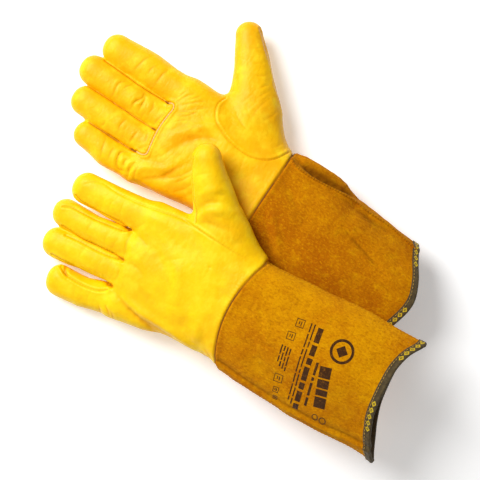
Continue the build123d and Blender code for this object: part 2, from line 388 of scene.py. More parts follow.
# ---------------------------------------------------------------- making pieces
def make_piece(name, side, co, faces, normals=None, attributes=None, materials=(), index=None):
    """A mesh object in the row frame from glove coordinates; index picks each face's material."""
    used, renumbered = np.unique(faces, return_inverse=True)
    faces = renumbered.reshape(faces.shape)
    mesh = bpy.data.meshes.new(name)
    mesh.from_pydata(to_row(side, co[used]).tolist(), [], faces.tolist())
    mesh.polygons.foreach_set("use_smooth", np.ones(len(mesh.polygons), bool))
    for key, values in {"glove": co, **(attributes or {})}.items():
        kind = "FLOAT_VECTOR" if np.ndim(values) == 2 else "FLOAT"
        layer = mesh.attributes.new(key, kind, "POINT")
        layer.data.foreach_set("vector" if np.ndim(values) == 2 else "value",
                               np.asarray(values, np.float32)[used].ravel())
    mesh.update()
    if normals is not None:
        turned = normals[used] @ PLACE[side][0].T
        mesh.normals_split_custom_set_from_vertices(turned.tolist())
    for material in materials:
        mesh.materials.append(material)
    if index is not None:
        mesh.polygons.foreach_set("material_index", index)
    return add_object(name, mesh)


def bend(obj, side, joint_child, start, end):
    row_point(side, *start)
    row_point(side, *end)
    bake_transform(obj)


# ---------------------------------------------------------------- what is drawn on each hand
# Seams that are drawn and also carry a strip of their own: the palm's under the fingers, the thumb's round its root.
PALM_CUT = {"left": [(26, 121), (24, 114), (11, 111.5), (-3, 112), (-17, 111.5), (-28, 116), (-29, 121)],
            "right": [(25, 122), (27, 117.5), (24, 114.2), (15, 114.4), (3, 115), (-7, 114), (-18, 112), (-25, 111),
                      (-28, 115), (-28.4, 121)]}
THUMB_CUT_LINE = [(59, 80.6), (50, 82.5), (41, 79.5), (34, 73), (28, 60), (25, 46), (25.3, 31), (30, 18), (38, 9.5),
                  (49, 4)]


def mark_left(skin):
    """The left glove: its upper face is the back of the hand."""
    # The seam between back and palm, near the thumb's edge, and the seams of the fingers' side strips.
    skin.seam([(44, 183), (52.5, 170), (51.5, 153), (51.5, 137), (52.5, 121), (54.5, 105), (56.5, 89), (56.5, 72),
               (55.5, 55), (53.5, 38), (51.5, 22), (50.5, 2)], depth=0.6, lips=0.5, raised=0.6, painted_shade=0.3, ends=True)
    skin.seam([(31, 186), (27.5, 178), (26.5, 163), (27.5, 147), (27.8, 135), (26.5, 128.5)], depth=0.7, painted_shade=0.4)
    skin.seam([(16, 193.5), (19, 185), (19.2, 174), (19.4, 160), (20.2, 148), (21, 137), (22.2, 129), (25, 126)],
              depth=0.7,
              painted_shade=0.45)
    skin.seam([(-1, 186), (-1.5, 176), (-3, 165), (-2, 152), (-1.2, 136), (-1.6, 124)], depth=0.7, painted_shade=0.4)
    skin.seam([(-7, 180), (-6.5, 165), (-6.6, 152), (-6, 136), (-4.6, 124)], depth=0.5, painted_shade=0.4)
    skin.seam([(-29, 184), (-30, 170), (-31, 156), (-31, 142), (-29, 130), (-29.5, 124)], depth=0.7, painted_shade=0.4)
    skin.seam([(-37, 172), (-40, 164), (-41.4, 151), (-41, 138), (-38.5, 128), (-34, 121.5)],
              depth=0.8, lips=0.6, painted_shade=0.4)
    # Crotches: a small pucker round each hole, and what runs from it over the back of the hand.
    for x, y in ((25.2, 128), (-2.4, 121.5), (-30.2, 122)):
        skin.crease([(x - 1, y + 5), (x, y), (x + 0.6, y - 4)], 2.6, 1.6, painted_shade=1.2)
        skin.ridge([(x - 5, y + 1), (x - 2.5, y - 4), (x + 2.5, y - 4.5), (x + 5.5, y + 0.5)], 0.8, 1.8)
    skin.draw([
        (-0.7, 2.2, 0.35, [(24, 123), (15, 123), (5, 120), (-2, 119.5)]),
        (-0.9, 2.6, 0.3, [(25, 121), (24, 112), (21, 103)]),
        (-0.45, 2.2, 0.25, [(29, 123), (36, 117), (43, 113)]),
        (-0.9, 3.0, 0.25, [(-3, 118), (-0.5, 109), (-2, 100), (-7, 93)]),
        (-0.5, 2.4, 0.3, [(-9, 121), (-16, 118), (-24, 119)]),
        (-2.0, 3.6, 0.45, [(-31, 118), (-34, 110), (-38, 101), (-42, 90), (-46, 77), (-50, 64), (-52, 52)]),
        (2.3, 4.2, 0, [(-30, 108), (-34, 96), (-37, 84), (-38, 70), (-39.5, 56), (-42, 41), (-46, 26), (-49, 16)]),
        (-1.2, 3.4, 0.3, [(-43, 84), (-44, 70), (-45, 56), (-47, 42)]),
        (-0.8, 1.6, 0.5, [(-47, 118), (-53, 112), (-58, 110)]),
        (-0.6, 1.4, 0.4, [(-49, 111), (-55, 107), (-60, 108)]),
        (-0.6, 1.6, 0.4, [(-50, 124), (-57, 120), (-61, 119)]),
        # The dog-ear at the little finger's tip.
        (-1.3, 1.2, 0.9, [(-33.5, 171), (-37.5, 167), (-41.5, 161.5)]),
        (0.9, 1.7, 0, [(-37, 173), (-41, 168), (-44, 161)]),
        # Broad, soft hollows and swells over the back.
        (-1.2, 7.5, 0.1, [(43, 92), (38, 82), (35, 70), (38, 58)]),
        (-1.4, 6.0, 0.15, [(24, 100), (16, 88), (10, 78)]),
        (-0.9, 6.5, 0.25, [(-12, 100), (-20, 86), (-24, 70)]),
        (2.0, 7.5, 0, [(24, 74), (10, 64), (-2, 60), (-16, 56)]),
        (0.9, 5.0, 0, [(45, 118), (46, 108), (49, 94)]),
        (-1.1, 6.0, 0.12, [(-8, 46), (-22, 42), (-34, 44)]),
        (-0.8, 6.0, 0.2, [(26, 30), (14, 24), (2, 22)]),
        (1.0, 5.5, 0, [(-16, 34), (-28, 28), (-40, 26)]),
        (-1.3, 2.2, 0.5, [(-44, 20), (-48, 12), (-50, 4)]),
        (-0.8, 1.8, 0.35, [(-39, 17), (-44, 10), (-46, 4)]),
        (-0.8, 1.6, 0.3, [(32, 44), (30.5, 41)]),
    ])
    # Faint creases across the fingers.
    for pts, depth in ((((47, 150), (38, 152), (30, 150)), 0.35), (((48, 140), (40, 141), (33, 139)), 0.3),
                       (((17, 160), (9, 162), (1, 160)), 0.3), (((17, 141), (9, 143), (2, 141)), 0.4),
                       (((-9, 157), (-17, 159), (-27, 156)), 0.3), (((-9, 137), (-17, 139), (-26, 136)), 0.4),
                       (((-43, 150), (-50, 150), (-58, 147)), 0.35), (((-42, 137), (-50, 136), (-58, 133)), 0.45),
                       (((15, 131), (9, 133), (2, 131)), 0.35)):
        skin.crease(pts, 0.7 * depth, 1.8, 2, painted_shade=0.2)
    # The thumb: its seam near the index finger's side, the hollow at its root, the folds beyond.
    skin.seam([(113, 98.5), (103, 96.5), (91, 89.8), (80.5, 83.8), (70, 77.6), (61, 71.5)], depth=0.7, painted_shade=0.45)
    skin.draw([
        (-2.2, 4.4, 0.3, [(62, 77), (73.5, 74.5), (83, 67), (89, 55.5)]),
        (1.8, 4.4, 0, [(65, 73), (77.5, 64.5), (82.5, 52), (81.5, 42)]),
        (0.9, 4.0, 0, [(84, 79), (94, 71), (99, 62)]),
        (-1.1, 3.2, 0.25, [(62.5, 69), (67, 56.5), (67, 42)]),
        (-0.5, 2.0, 0.2, [(93, 67.5), (95, 59), (94, 51)]),
        (-0.4, 2.0, 0.15, [(74, 60), (76, 50), (75, 41)]),
        (-0.4, 2.8, 0.15, [(58, 34), (62, 28), (64, 22)]),
        (-0.4, 2.0, 0.2, [(98, 90), (104, 84), (108, 77)]),
    ])


def mark_right(skin):
    """The right glove: its upper face is the palm."""
    # The cut of the palm at the fingers' bases, where the fingers' own fronts are sewn on.
    skin.seam(PALM_CUT["right"], depth=1.0, width=0.9, lips=0.7, pucker=0.35)
    # Between the fingers.
    for pts in (((25.2, 193), (24.9, 168), (24.3, 149), (24.8, 134), (25.4, 120)),
                ((-3.6, 194), (-3.2, 182), (-3, 154), (-2.8, 134), (-2.4, 117)),
                ((-30.4, 173), (-30.2, 155), (-30, 140), (-29.4, 122))):
        skin.crease(pts, 0.8, 0.8, painted_shade=1.1, ends=False)
    for x, y in ((25.2, 121), (-2.4, 117), (-29, 122)):
        skin.crease([(x, y + 5), (x, y), (x, y - 2)], 1.5, 1.3, painted_shade=0.9)
    # Folds of the fingers' fronts: (line, depth, width).
    for pts, depth, width in (
            (((53, 158), (45, 162), (31, 165)), 0.5, 1.6), (((54, 138), (42, 140.5), (29, 141)), 0.5, 1.8),
            (((48, 150), (42, 152), (36, 152)), 0.2, 1.5),
            (((22, 163), (14.5, 169), (5, 168), (0, 168)), 0.7, 1.1), (((21, 158), (16, 162), (12, 163)), 0.35, 1.0),
            (((22, 145), (15.5, 143.5), (8.5, 147), (2, 146.5)), 1.1, 1.2),
            (((21.5, 143), (14, 140.5), (7, 140), (1.5, 139.5)), 1.0, 1.1),
            (((19, 133), (13, 130.5), (7, 131)), 0.3, 1.3),
            (((18, 116.5), (10, 119.5), (2, 121), (-1, 122.5)), 0.5, 1.1),
            (((-21, 160), (-27, 160.5)), 0.35, 1.4), (((-7.5, 144.5), (-16, 146.5), (-25, 144.5)), 0.45, 1.5),
            (((-12, 130), (-20, 130.5), (-26.5, 130.5)), 0.75, 1.3),
            (((-16, 113.5), (-22, 117.5), (-27, 121)), 0.5, 1.0),
            (((-8, 122), (-13, 119.5), (-18, 119)), 0.4, 1.0),
            (((-32, 152), (-42, 149), (-53, 145)), 0.5, 1.7), (((-36, 140), (-43, 140), (-50, 138)), 0.25, 1.6),
            (((-32, 125), (-37, 132), (-46, 130.5), (-51, 125.5), (-48, 118)), 1.2, 1.3),
            (((-36, 115.5), (-46, 116.5), (-54, 113)), 1.1, 1.4), (((-38, 124), (-43, 124.5), (-47, 122)), 0.45, 1.0),
            (((-38, 111), (-44, 111), (-51, 108)), 0.4, 1.2)):
        skin.crease(pts, depth, width, 2, painted_shade=0.45)
    skin.ridge([(-35, 121), (-41, 127), (-46, 124)], 0.9, 2.4, 2)
    skin.ridge([(-33, 112), (-41, 120), (-50, 118)], 0.7, 2.0, 2)
    skin.ridge([(22, 150), (15, 151), (6, 154)], 0.5, 3.0, 2)
    skin.ridge([(21, 136), (13, 134.5), (4, 134)], 0.5, 3.0, 2)
    # The fan of fine wrinkles from the crotch beside the index finger.
    for pts, depth in ((((27, 116), (40, 110), (47, 103)), 0.4), (((27, 112), (38.5, 101), (47.5, 90.5)), 0.4),
                       (((24.5, 108), (34, 96.5), (43.5, 85.5)), 0.4), (((18.5, 106), (25, 99.5), (34.5, 93)), 0.3),
                       (((30, 119), (38, 115), (46, 112)), 0.3), (((22, 110), (27, 103), (31, 93)), 0.3),
                       (((36, 108), (42, 103), (49, 99)), 0.25), (((32, 101), (38, 95), (41, 90)), 0.25),
                       (((12, 107), (18, 102), (24, 93)), 0.25)):
        skin.crease(pts, depth, 1.0, painted_shade=0.4)
    # The soft ridge under the little finger, and the long one into the palm, each with its hollow.
    skin.draw([
        (1.5, 4.0, 0, [(-54, 112), (-45, 110.5), (-38, 107.5), (-32.5, 101), (-28, 89.5), (-18, 82), (-10, 79)]),
        (-1.4, 3.4, 0.45, [(-50, 104), (-42.5, 97), (-33.5, 86.5), (-20, 80), (-12, 74)]),
        (1.9, 5.5, 0, [(-6, 99), (3, 98), (12, 91), (24, 82), (34, 72), (38, 60)]),
        (-1.5, 4.5, 0.4, [(-8, 93), (0, 90), (9, 84), (16, 76), (20, 67), (20, 58)]),
        (-0.6, 2.4, 0.25, [(-24, 102), (-16, 97), (-8, 94)]),
        (-0.7, 2.2, 0.3, [(-37, 88), (-28, 77), (-18, 70), (-8, 66)]),
        (-0.45, 1.6, 0.3, [(-36, 78), (-26, 70), (-17, 65)]),
        (-0.5, 1.8, 0.25, [(-42, 73), (-32, 64), (-22, 59)]),
        (-0.4, 2.0, 0.2, [(-40, 61), (-30, 55), (-20, 51)]),
        (-0.35, 1.8, 0.2, [(2, 106), (10, 101), (17, 95)]),
        (-0.5, 0.9, 0.45, [(-51, 112), (-49.5, 98), (-50, 84), (-48, 68), (-46, 50)]),
        (-0.8, 6.0, 0.12, [(4, 52), (2, 36), (6, 20)]),
        (0.8, 5.5, 0, [(18, 34), (20, 22), (24, 10)]),
    ])
    # The keystone thumb: its seam round the root, then its outer seam and the wrinkles beside it.
    skin.seam(THUMB_CUT_LINE, depth=0.65, width=0.7, lips=0.3, raised=0.9, pucker=0.06, painted_shade=0.4)
    skin.seam([(129.5, 90), (124, 82.5), (117, 75), (109.5, 65.5), (101, 56), (93.5, 49), (86.5, 38.5), (78, 28.5)],
              depth=0.6, width=0.9, lips=0.5, pucker=0.1, painted_shade=0.3)
    skin.crease([(127, 89), (120, 80), (112, 71), (106, 64)], 0.7, 1.6, painted_shade=0.35)
    for pts, depth, width in ((((54, 66), (49, 60), (46, 53), (44, 45)), 0.5, 1.6),
                              (((91, 53), (86, 57), (81, 59.5)), 0.35, 1.2),
                              (((82, 45), (73, 48), (62, 50), (50, 49)), 0.35, 1.5),
                              (((75, 33), (66, 36), (60, 39)), 0.3, 1.6),
                              (((55, 13), (49, 15), (44, 19)), 0.25, 1.6), (((97, 60), (93, 64), (90, 69)), 0.3, 1.1),
                              (((105, 70), (101, 73), (98, 77)), 0.25, 1.1),
                              (((87, 49), (80, 53), (73, 56)), 0.3, 1.2),
                              (((115, 79), (112, 82), (110, 86)), 0.25, 1.0),
                              (((63, 84), (67, 80), (70, 74)), 0.5, 1.8)):
        skin.crease(pts, depth, width, painted_shade=0.3)


# Where the leather is most crinkled: x, y, radius and how much.
WORN = {
    "left": [(0, 118, 18, 0.9), (-30, 116, 16, 1.0), (25, 118, 14, 0.7), (-48, 100, 16, 1.0), (-48, 40, 20, 0.8),
             (66, 40, 18, 0.8), (40, 148, 14, 0.5), (-16, 146, 12, 0.6), (-50, 134, 14, 1.0), (90, 70, 16, 0.6)],
    "right": [(40, 104, 18, 1.3), (12, 140, 18, 1.3), (-18, 130, 16, 1.2), (-42, 118, 18, 1.4), (-26, 84, 26, 0.9),
              (10, 84, 26, 0.7), (84, 62, 22, 1.0), (52, 60, 22, 0.8), (42, 146, 16, 0.7), (106, 80, 16, 0.9)],
}


def hand_surface(side):
    points, quads = hand_mesh(side)
    cage, co, faces = tidy_mesh(points, quads, HAND_ROUNDS)
    normal = vertex_normals(co, faces)
    skin = Skin(co, normal)
    seed = 3 if side == "left" else 8
    soft = lattice(co, 27, seed) + lattice(co * (1, 1.4, 1), 14, seed + 1) * 0.2
    fine = lattice(co * (1, 0.55, 1), 5.5, seed + 2) * 0.07
    skin.rise += soft + fine
    worn = sum(a * bell(np.hypot(co[:, 0] - x, (co[:, 1] - y)), r) for x, y, r, a in WORN[side])
    lines = crinkle(co * (1, 1.5, 1), 9.0, seed + 11) * 0.26 + crinkle(co * (1.4, 1, 1), 5.2, seed + 23) * 0.16
    skin.rise -= lines * (0.05 + 0.6 * worn)
    # Painted shade in the bottoms of the fine creases, more where the leather is most crinkled.
    skin.fold += 0.16 * lines * (0.1 + 0.8 * worn)
    (mark_left if side == "left" else mark_right)(skin)
    if side == "left":
        skin.seam([(59, 79), (49, 82), (41, 79), (34, 73), (28, 60), (25, 46), (25, 31), (30, 18), (38, 9), (48, 3)],
                  face=-1)
        skin.seam(PALM_CUT["left"][:-1], face=-1)
    else:
        skin.seam([(54, 128), (52, 100), (53, 70), (50, 40), (46, 6)], face=-1)
    for x, top, root in ((40, 170, 128), (11, 180, 128), (-16, 172, 128), (-44, 150, 126)):
        for y in (root + 4, (root + top) / 2 + 4, top - 6):
            skin.crease([(x + 9, y), (x, y + 2), (x - 9, y)], 0.5, 1.7, face=-1, painted_shade=0.4)
    for x0, y0, x1, y1 in ((30, 96, -30, 88), (34, 66, -34, 58), (30, 36, -32, 30)):
        skin.crease([(x0, y0), ((x0 + x1) / 2, y0 - 9), (x1, y1)], 1.0, 5.0, face=-1, painted_shade=0.3)
    # The edge that goes into the wrist's seam dips under it.
    gap = co[:, 1] - wrist_line(side, co[:, 0], co[:, 2])
    skin.rise -= WRIST_DIP * bell(np.maximum(gap, 0), 1.1)
    skin.rise += 0.25 * bell(gap - 3.2, 2.0) * (1 + 0.4 * np.cos(co[:, 0] * 1.9))
    # Painted shade in the groove under the wrist's seam.
    skin.fold += 1.2 * bell(np.maximum(gap, 0), 0.9)
    outer = co + normal * skin.rise[:, None]
    hollow = np.minimum(skin.rise[:len(cage)], 0)
    inner = cage + vertex_normals(cage, quads) * (hollow - LEATHER_WALL)[:, None]
    return outer, faces, np.clip(skin.fold, 0, MOST_FOLD_SHADE), inner, quads[:, ::-1]


def wrist_line(side, x, z):
    """Where the hand meets the cuff: bowed towards the fingers on the left glove's upper face."""
    if side == "right":
        return np.full(np.shape(x), -0.6)
    bow = 11.2 * np.maximum(1 - (np.asarray(x) / 54) ** 2, 0)
    lift = np.clip(np.asarray(z) / 16 + 0.15, 0, 1)
    return bow * lift


# Where the digits' pieces part from the hand, and the two points along each that are given to bend(): y for a finger,
# and how far from its root for the thumb.
FINGER_CUT, BEND = 127.5, (128.0, 141.0)
FINGERS = ("index", "middle", "ring", "little")
THUMB_AXIS = (math.cos(math.radians(39.5)), math.sin(math.radians(39.5)))
THUMB_ROOT, THUMB_CUT, THUMB_BEND = (46.0, 36.0), 36.0, (37.0, 52.0)
# The thumb's outline in plan, on the palm's side and on the back.
THUMB_ON_PALM = [(62, 81), *THUMB_CUT_LINE[1:-1], (52, 3), (150, -20), (150, 130), (80, 110)]
THUMB_ON_BACK = [(57, 86), (56.5, 60), (53.5, 38), (50, 2), (150, -20), (150, 130), (70, 110)]
# The side strips' half width, and where the palm's and the back's leather meet, as height over distance sideways.
STRIP_HALF_WIDTH, EDGE_SLOPE = 4.5, 0.13
# How far the hand's leather goes on under the wrist's seam.
UNDER_SEAM = 2.6


def inside(polygon, x, y):
    hit = np.zeros(len(x), bool)
    pts = list(polygon)
    for (x0, y0), (x1, y1) in zip(pts, pts[1:] + pts[:1]):
        cross = (y0 > y) != (y1 > y)
        with np.errstate(divide="ignore", invalid="ignore"):
            hit ^= cross & (x < (x1 - x0) * (y - y0) / (y1 - y0 + 1e-12) + x0)
    return hit


def label_faces(side, centre):
    """Which piece each face of the hand's skin belongs to."""
    x, y, z = centre.T
    back = z if side == "left" else -z
    names = np.full(len(centre), "palm_panel", dtype=object)
    names[back > EDGE_SLOPE * x] = "back_panel"
    reach = (x - THUMB_ROOT[0]) * THUMB_AXIS[0] + (y - THUMB_ROOT[1]) * THUMB_AXIS[1]
    thumb = (inside(THUMB_ON_PALM, x, y) & (back <= 3)) | inside(THUMB_ON_BACK, x, y)
    names[thumb] = "thumb_gusset"
    far = thumb & (reach > THUMB_CUT)
    names[far & (back > 0)] = "thumb_back"
    names[far & (back <= 0)] = "thumb_front"
    finger = (y > FINGER_CUT) & ~thumb
    nearest = np.argmin([digit_field(centre, *DIGITS[side][name]) for name in FINGERS], axis=0)
    for i, name in enumerate(FINGERS):
        m = finger & (nearest == i)
        middle = np.interp(y, *np.array([(p[1], p[0]) for p in DIGITS[side][name][0]]).T)
        strip = (np.abs(back) < STRIP_HALF_WIDTH) & (y < DIGITS[side][name][0][-1][1])
        if name == "index":
            strip &= x < middle
        if name == "little":
            strip &= x > middle
        edge = {"index": STRIP_HALF_WIDTH, "little": -STRIP_HALF_WIDTH}.get(name, 0.0)
        names[m & (back > edge)] = f"{name}_back"
        names[m & (back <= edge)] = f"{name}_front"
        names[m & strip] = f"{name}_fourchette"
    return names


# How far under the skin the hidden sides lie, and how far past the neighbouring finger they reach.
WALL_DEPTH, WALL_REACH = 1.1, 2.5


def finger_walls(side):
    """The sides that fingers lying together hide from each other, which show when one finger bends alone."""
    low = (-72.0, 118.0, -30.0)
    P = grid_points(low, (72.0, 214.0, 32.0))
    for name in FINGERS:
        _, co, faces = tidy_mesh(*zero_surface(digit_field(P, *DIGITS[side][name]) + WALL_DEPTH, low), WALL_ROUNDS)
        centre = co[faces].mean(1)
        near = np.min([digit_field(centre, *DIGITS[side][other]) for other in FINGERS if other != name], axis=0)
        yield name, co, faces[(near < WALL_REACH) & (centre[:, 1] > FINGER_CUT)]


def build_hand(side, skin_material, flesh_material):
    """The pieces of the hand, each with its outer face and its inner one; returns the outer face."""
    outer, faces, fold, inner, inner_faces = hand_surface(side)
    normals = np.vstack([vertex_normals(outer, faces), vertex_normals(inner, inner_faces)])
    co = np.vstack([outer, inner])
    fold = np.concatenate([fold, np.zeros(len(inner))])
    is_inner = np.repeat([0, 1], [len(faces), len(inner_faces)])
    all_faces = np.vstack([faces, inner_faces + len(outer)])
    centre = co[all_faces].mean(1)
    keep = centre[:, 1] > wrist_line(side, centre[:, 0], centre[:, 2]) - UNDER_SEAM
    all_faces, centre, is_inner = all_faces[keep], centre[keep], is_inner[keep]
    names = label_faces(side, centre)
    for name, points, wall in finger_walls(side):
        all_faces = np.vstack([all_faces, wall + len(co)])
        co, normals = np.vstack([co, points]), np.vstack([normals, vertex_normals(points, wall)])
        fold = np.concatenate([fold, np.zeros(len(points))])
        is_inner = np.concatenate([is_inner, np.zeros(len(wall), int)])
        names = np.concatenate([names, np.full(len(wall), f"{name}_fourchette", dtype=object)])
    for name in sorted(set(names)):
        mine = names == name
        obj = make_piece(f"{side}_{name}_leather", side, co, all_faces[mine], normals, {"fold": fold},
                         [skin_material, flesh_material], is_inner[mine])
        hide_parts(f"{side}_{name}")
        first = name.split("_")[0]
        if name == "thumb_gusset" or first not in DIGITS[side]:
            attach(obj, f"{side}_hand")
        elif first == "thumb":
            start, end = (tuple(r + a * s for r, a in zip(THUMB_ROOT, THUMB_AXIS)) for s in THUMB_BEND)
            bend(obj, side, first, start, end)
        else:
            x = DIGITS[side][first][0][1][0]
            bend(obj, side, first, (x, BEND[0]), (x, BEND[1]))
    return BVHTree.FromPolygons(outer.tolist(), faces.tolist())


# ---------------------------------------------------------------- the cuffs
# (y, least x, greatest x, upper and lower half thickness, fullness) down the cuff.
CUFF = {
    "left": [(14, -51.5, 53.6, 22.8, 22.8, 0.42), (0, -53.2, 54.2, 23.2, 23.2, 0.42),
             (-19, -56.5, 55, 24, 23.8, 0.44), (-49, -59, 56, 25.2, 25, 0.48), (-78, -61.5, 56, 26, 26, 0.53),
             (-108, -62.2, 55.8, 26.4, 26.6, 0.57), (-140, -62, 53.6, 26.4, 27, 0.6),
             (-152, -62.6, 53.2, 26.2, 27, 0.6), (-172, -67.5, 54.5, 25.5, 27, 0.62)],
    "right": [(14, -51.5, 51.0, 22.8, 22.8, 0.42), (0, -52, 52.5, 23.2, 23.2, 0.42), (-12, -53, 55, 23.8, 24.4, 0.44),
              (-30, -55.5, 56, 24.6, 25.4, 0.47), (-56, -58.5, 54.6, 25.4, 26, 0.5), (-74, -60.5, 50.2, 26, 26, 0.55),
              (-108, -63.5, 48, 26.4, 26.6, 0.6), (-138, -65.5, 45, 26.4, 27, 0.64), (-172, -67, 43, 26, 27, 0.68)],
}
# The hem in plan.
HEM = {
    "left": [(-84, -168), (-67, -163.5), (-58, -159), (-47, -154.5), (-35, -149.8), (-19, -145.6), (-2, -144.3),
             (14.7, -144.2), (29, -145.4), (41.7, -149.8), (53.6, -158.2), (66, -164)],
    "right": [(-84, -141), (-66, -149.5), (-48, -156.5), (-30, -161.3), (-11, -165.3), (2, -164.5), (17, -158),
              (30, -150), (43, -143), (56, -137)],
}
# The right cuff is folded over, so its seam on the thumb's side lies on the upper face.
RIGHT_SIDE_SEAM = [(46, -1), (42, -8), (41, -24), (42, -37), (44, -53), (45.5, -69), (44.5, -85), (44.5, -109),
                   (42.5, -126), (40, -144)]
# The two points along the cuff that are given to bend(), and how many points it has round it and down it.
CUFF_BEND = ((0, -3), (0, -26))
CUFF_ROUND, CUFF_ROWS = 300, 190
# Turns an angle near a side seam into about as many millimetres.
CUFF_RADIUS = 30


def hem_line(side, x):
    path = smooth_path(HEM[side], 1.0)
    order = np.argsort(path[:, 0])
    return np.interp(x, path[order, 0], path[order, 1])


def cuff_ring(side, theta, y, out=0.0):
    """The cuff's cross-section: theta from the thumb's side over the upper face; out is outwards."""
    low, high, up, down, fullness = sections(CUFF[side], y)
    c, s = np.cos(theta), np.sin(theta)
    thick = np.where(s > 0, up, down) + out
    x = (low + high) / 2 + ((high - low) / 2 + out) * c
    return x, thick * np.sign(s) * np.abs(s) ** (2 * fullness)


def cuff_points(side, theta, v, out=0.0):
    """Points of the cuff for v from 0 at the wrist's seam to 1 at the hem."""
    y = -80 * np.ones(np.broadcast(theta, v).shape)
    for _ in range(5):
        x, z = cuff_ring(side, theta, y, out)
        start = wrist_line(side, x, z)
        y = start + v * (hem_line(side, x) - start)
    x, z = cuff_ring(side, theta, y, out)
    return np.stack([x, y, z], -1)


def spread_angles(side, n):
    """Angles at even steps of length round the cuff's middle."""
    t = np.linspace(0, 2 * PI, 4001)
    x, z = cuff_ring(side, t, np.full(t.shape, -90.0))
    run = np.concatenate([[0], np.cumsum(np.hypot(np.diff(x), np.diff(z)))])
    return np.interp(np.linspace(0, run[-1], n, endpoint=False), run, t)


def ring_faces(rows, n):
    """Quads between rows of n points that close into rings."""
    i, j = np.meshgrid(np.arange(rows - 1), np.arange(n), indexing="ij")
    a, b = i * n + j, i * n + (j + 1) % n
    return np.stack([a, b, b + n, a + n], -1).reshape(-1, 4)


def mark_cuff(side, skin, theta):
    """The cuff's seams, folds and broad swells."""
    co = skin.co
    if side == "left":
        skin.ridge([(-47, 2), (-50.5, -20), (-53.5, -45), (-55, -77), (-55, -110), (-53.5, -137), (-53, -160)],
                   1.3, 2.0, ends=False)
        skin.crease([(-44, 0), (-46.5, -20), (-49, -45), (-50.5, -77), (-50.5, -110), (-49, -137), (-49, -158)],
                    1.3, 2.6, painted_shade=0.6, ends=False)
        skin.draw([
            (-1.0, 2.0, 0.5, [(-56, -60), (-58.5, -90), (-58.5, -120), (-57, -150)]),
            (-0.7, 1.8, 0.4, [(2, -25), (-7, -32), (-6, -42), (-12, -50)]),
            (-0.5, 2.2, 0.25, [(22, -14), (12, -20), (4, -24)]),
            (0.8, 4.5, 0, [(44, 0), (46, -30), (46, -70), (45, -110), (43, -145)]),
            (-0.8, 6.0, 0.2, [(38, -30), (38, -70), (36, -110)]),
            (-1.3, 8.0, 0.3, [(-20, -20), (-30, -50), (-32, -84)]),
            (1.5, 12.0, 0, [(0, -50), (-6, -86), (-4, -124)]),
            (-1.0, 7.0, 0.15, [(20, -120), (24, -140), (27, -156)]),
            (-1.2, 7.0, 0.2, [(-28, -118), (-32, -138), (-36, -158)]),
        ])
    else:
        skin.ridge(RIGHT_SIDE_SEAM, 1.5, 1.5, ends=False)
        skin.draw([
            (-4.6, 2.8, 1.3, [(49, -4), (46, -14), (45.4, -28), (46.4, -44), (49, -62), (50, -74)]),
            (-0.8, 4.0, 0.8, [(51, -10), (48.5, -26), (49, -44), (51, -60)]),
            (1.2, 4.0, 0, [(-3, -11), (-20, -28), (-39, -47)]),
            (-1.0, 3.5, 0.35, [(-10, -8), (-28, -24), (-46, -42)]),
            (-0.6, 1.5, 0.35, [(18, -77), (12, -102), (5, -128)]),
            (-1.2, 5.5, 0.35, [(43, -80), (37, -98), (33, -115)]),
            (2.0, 2.8, 0, [(53, -8), (52.5, -26), (53, -46), (52, -60)]),
        ])
        skin.crease([(38, -6), (37, -24), (38, -40), (40, -60), (40, -85), (39.5, -110)],
                    0.7, 2.4, painted_shade=0.35, ends=False)
        skin.draw([
            (-1.2, 6.0, 0.35, [(26, -6), (18, -18), (8, -34), (4, -52)]),
            (1.4, 9.0, 0, [(30, -40), (22, -66), (20, -96)]),
            (-1.3, 7.0, 0.3, [(12, -60), (14, -92), (8, -126)]),
            (-1.2, 5.0, 0.4, [(-22, -4), (-31, -16), (-40, -34)]),
            (1.3, 11.0, 0, [(-8, -40), (-16, -76), (-12, -112)]),
            (-0.9, 5.0, 0.25, [(24, -112), (22, -132), (26, -148)]),
            (1.0, 6.0, 0, [(2, -128), (0, -148), (-2, -162)]),
        ])
    for x0, x1, y in ((36, -38, -30), (34, -40, -78), (36, -36, -120)):
        skin.crease([(x0, y), (0, y - 12), (x1, y + 2)], 0.8, 8.0, face=-1, painted_shade=0.2)
    # The side seams: on the thumb's side of the left cuff and on the little finger's side of both.
    turn_in = np.where(theta > PI, 2 * PI - theta, theta)
    around = np.minimum(turn_in, PI - turn_in) * CUFF_RADIUS
    lonely = (turn_in > PI / 2) | (side == "left")
    lips = 0.6 * bell(around - 3.0, 2.0) * (1 + 0.25 * np.cos(2 * PI * co[:, 1] / 3.6))
    skin.rise += np.where(lonely, lips - bell(around, 1.0), 0)
    # Painted shade in the side seams' grooves.
    skin.fold += np.where(lonely, 0.7 * bell(around, 1.4), 0)


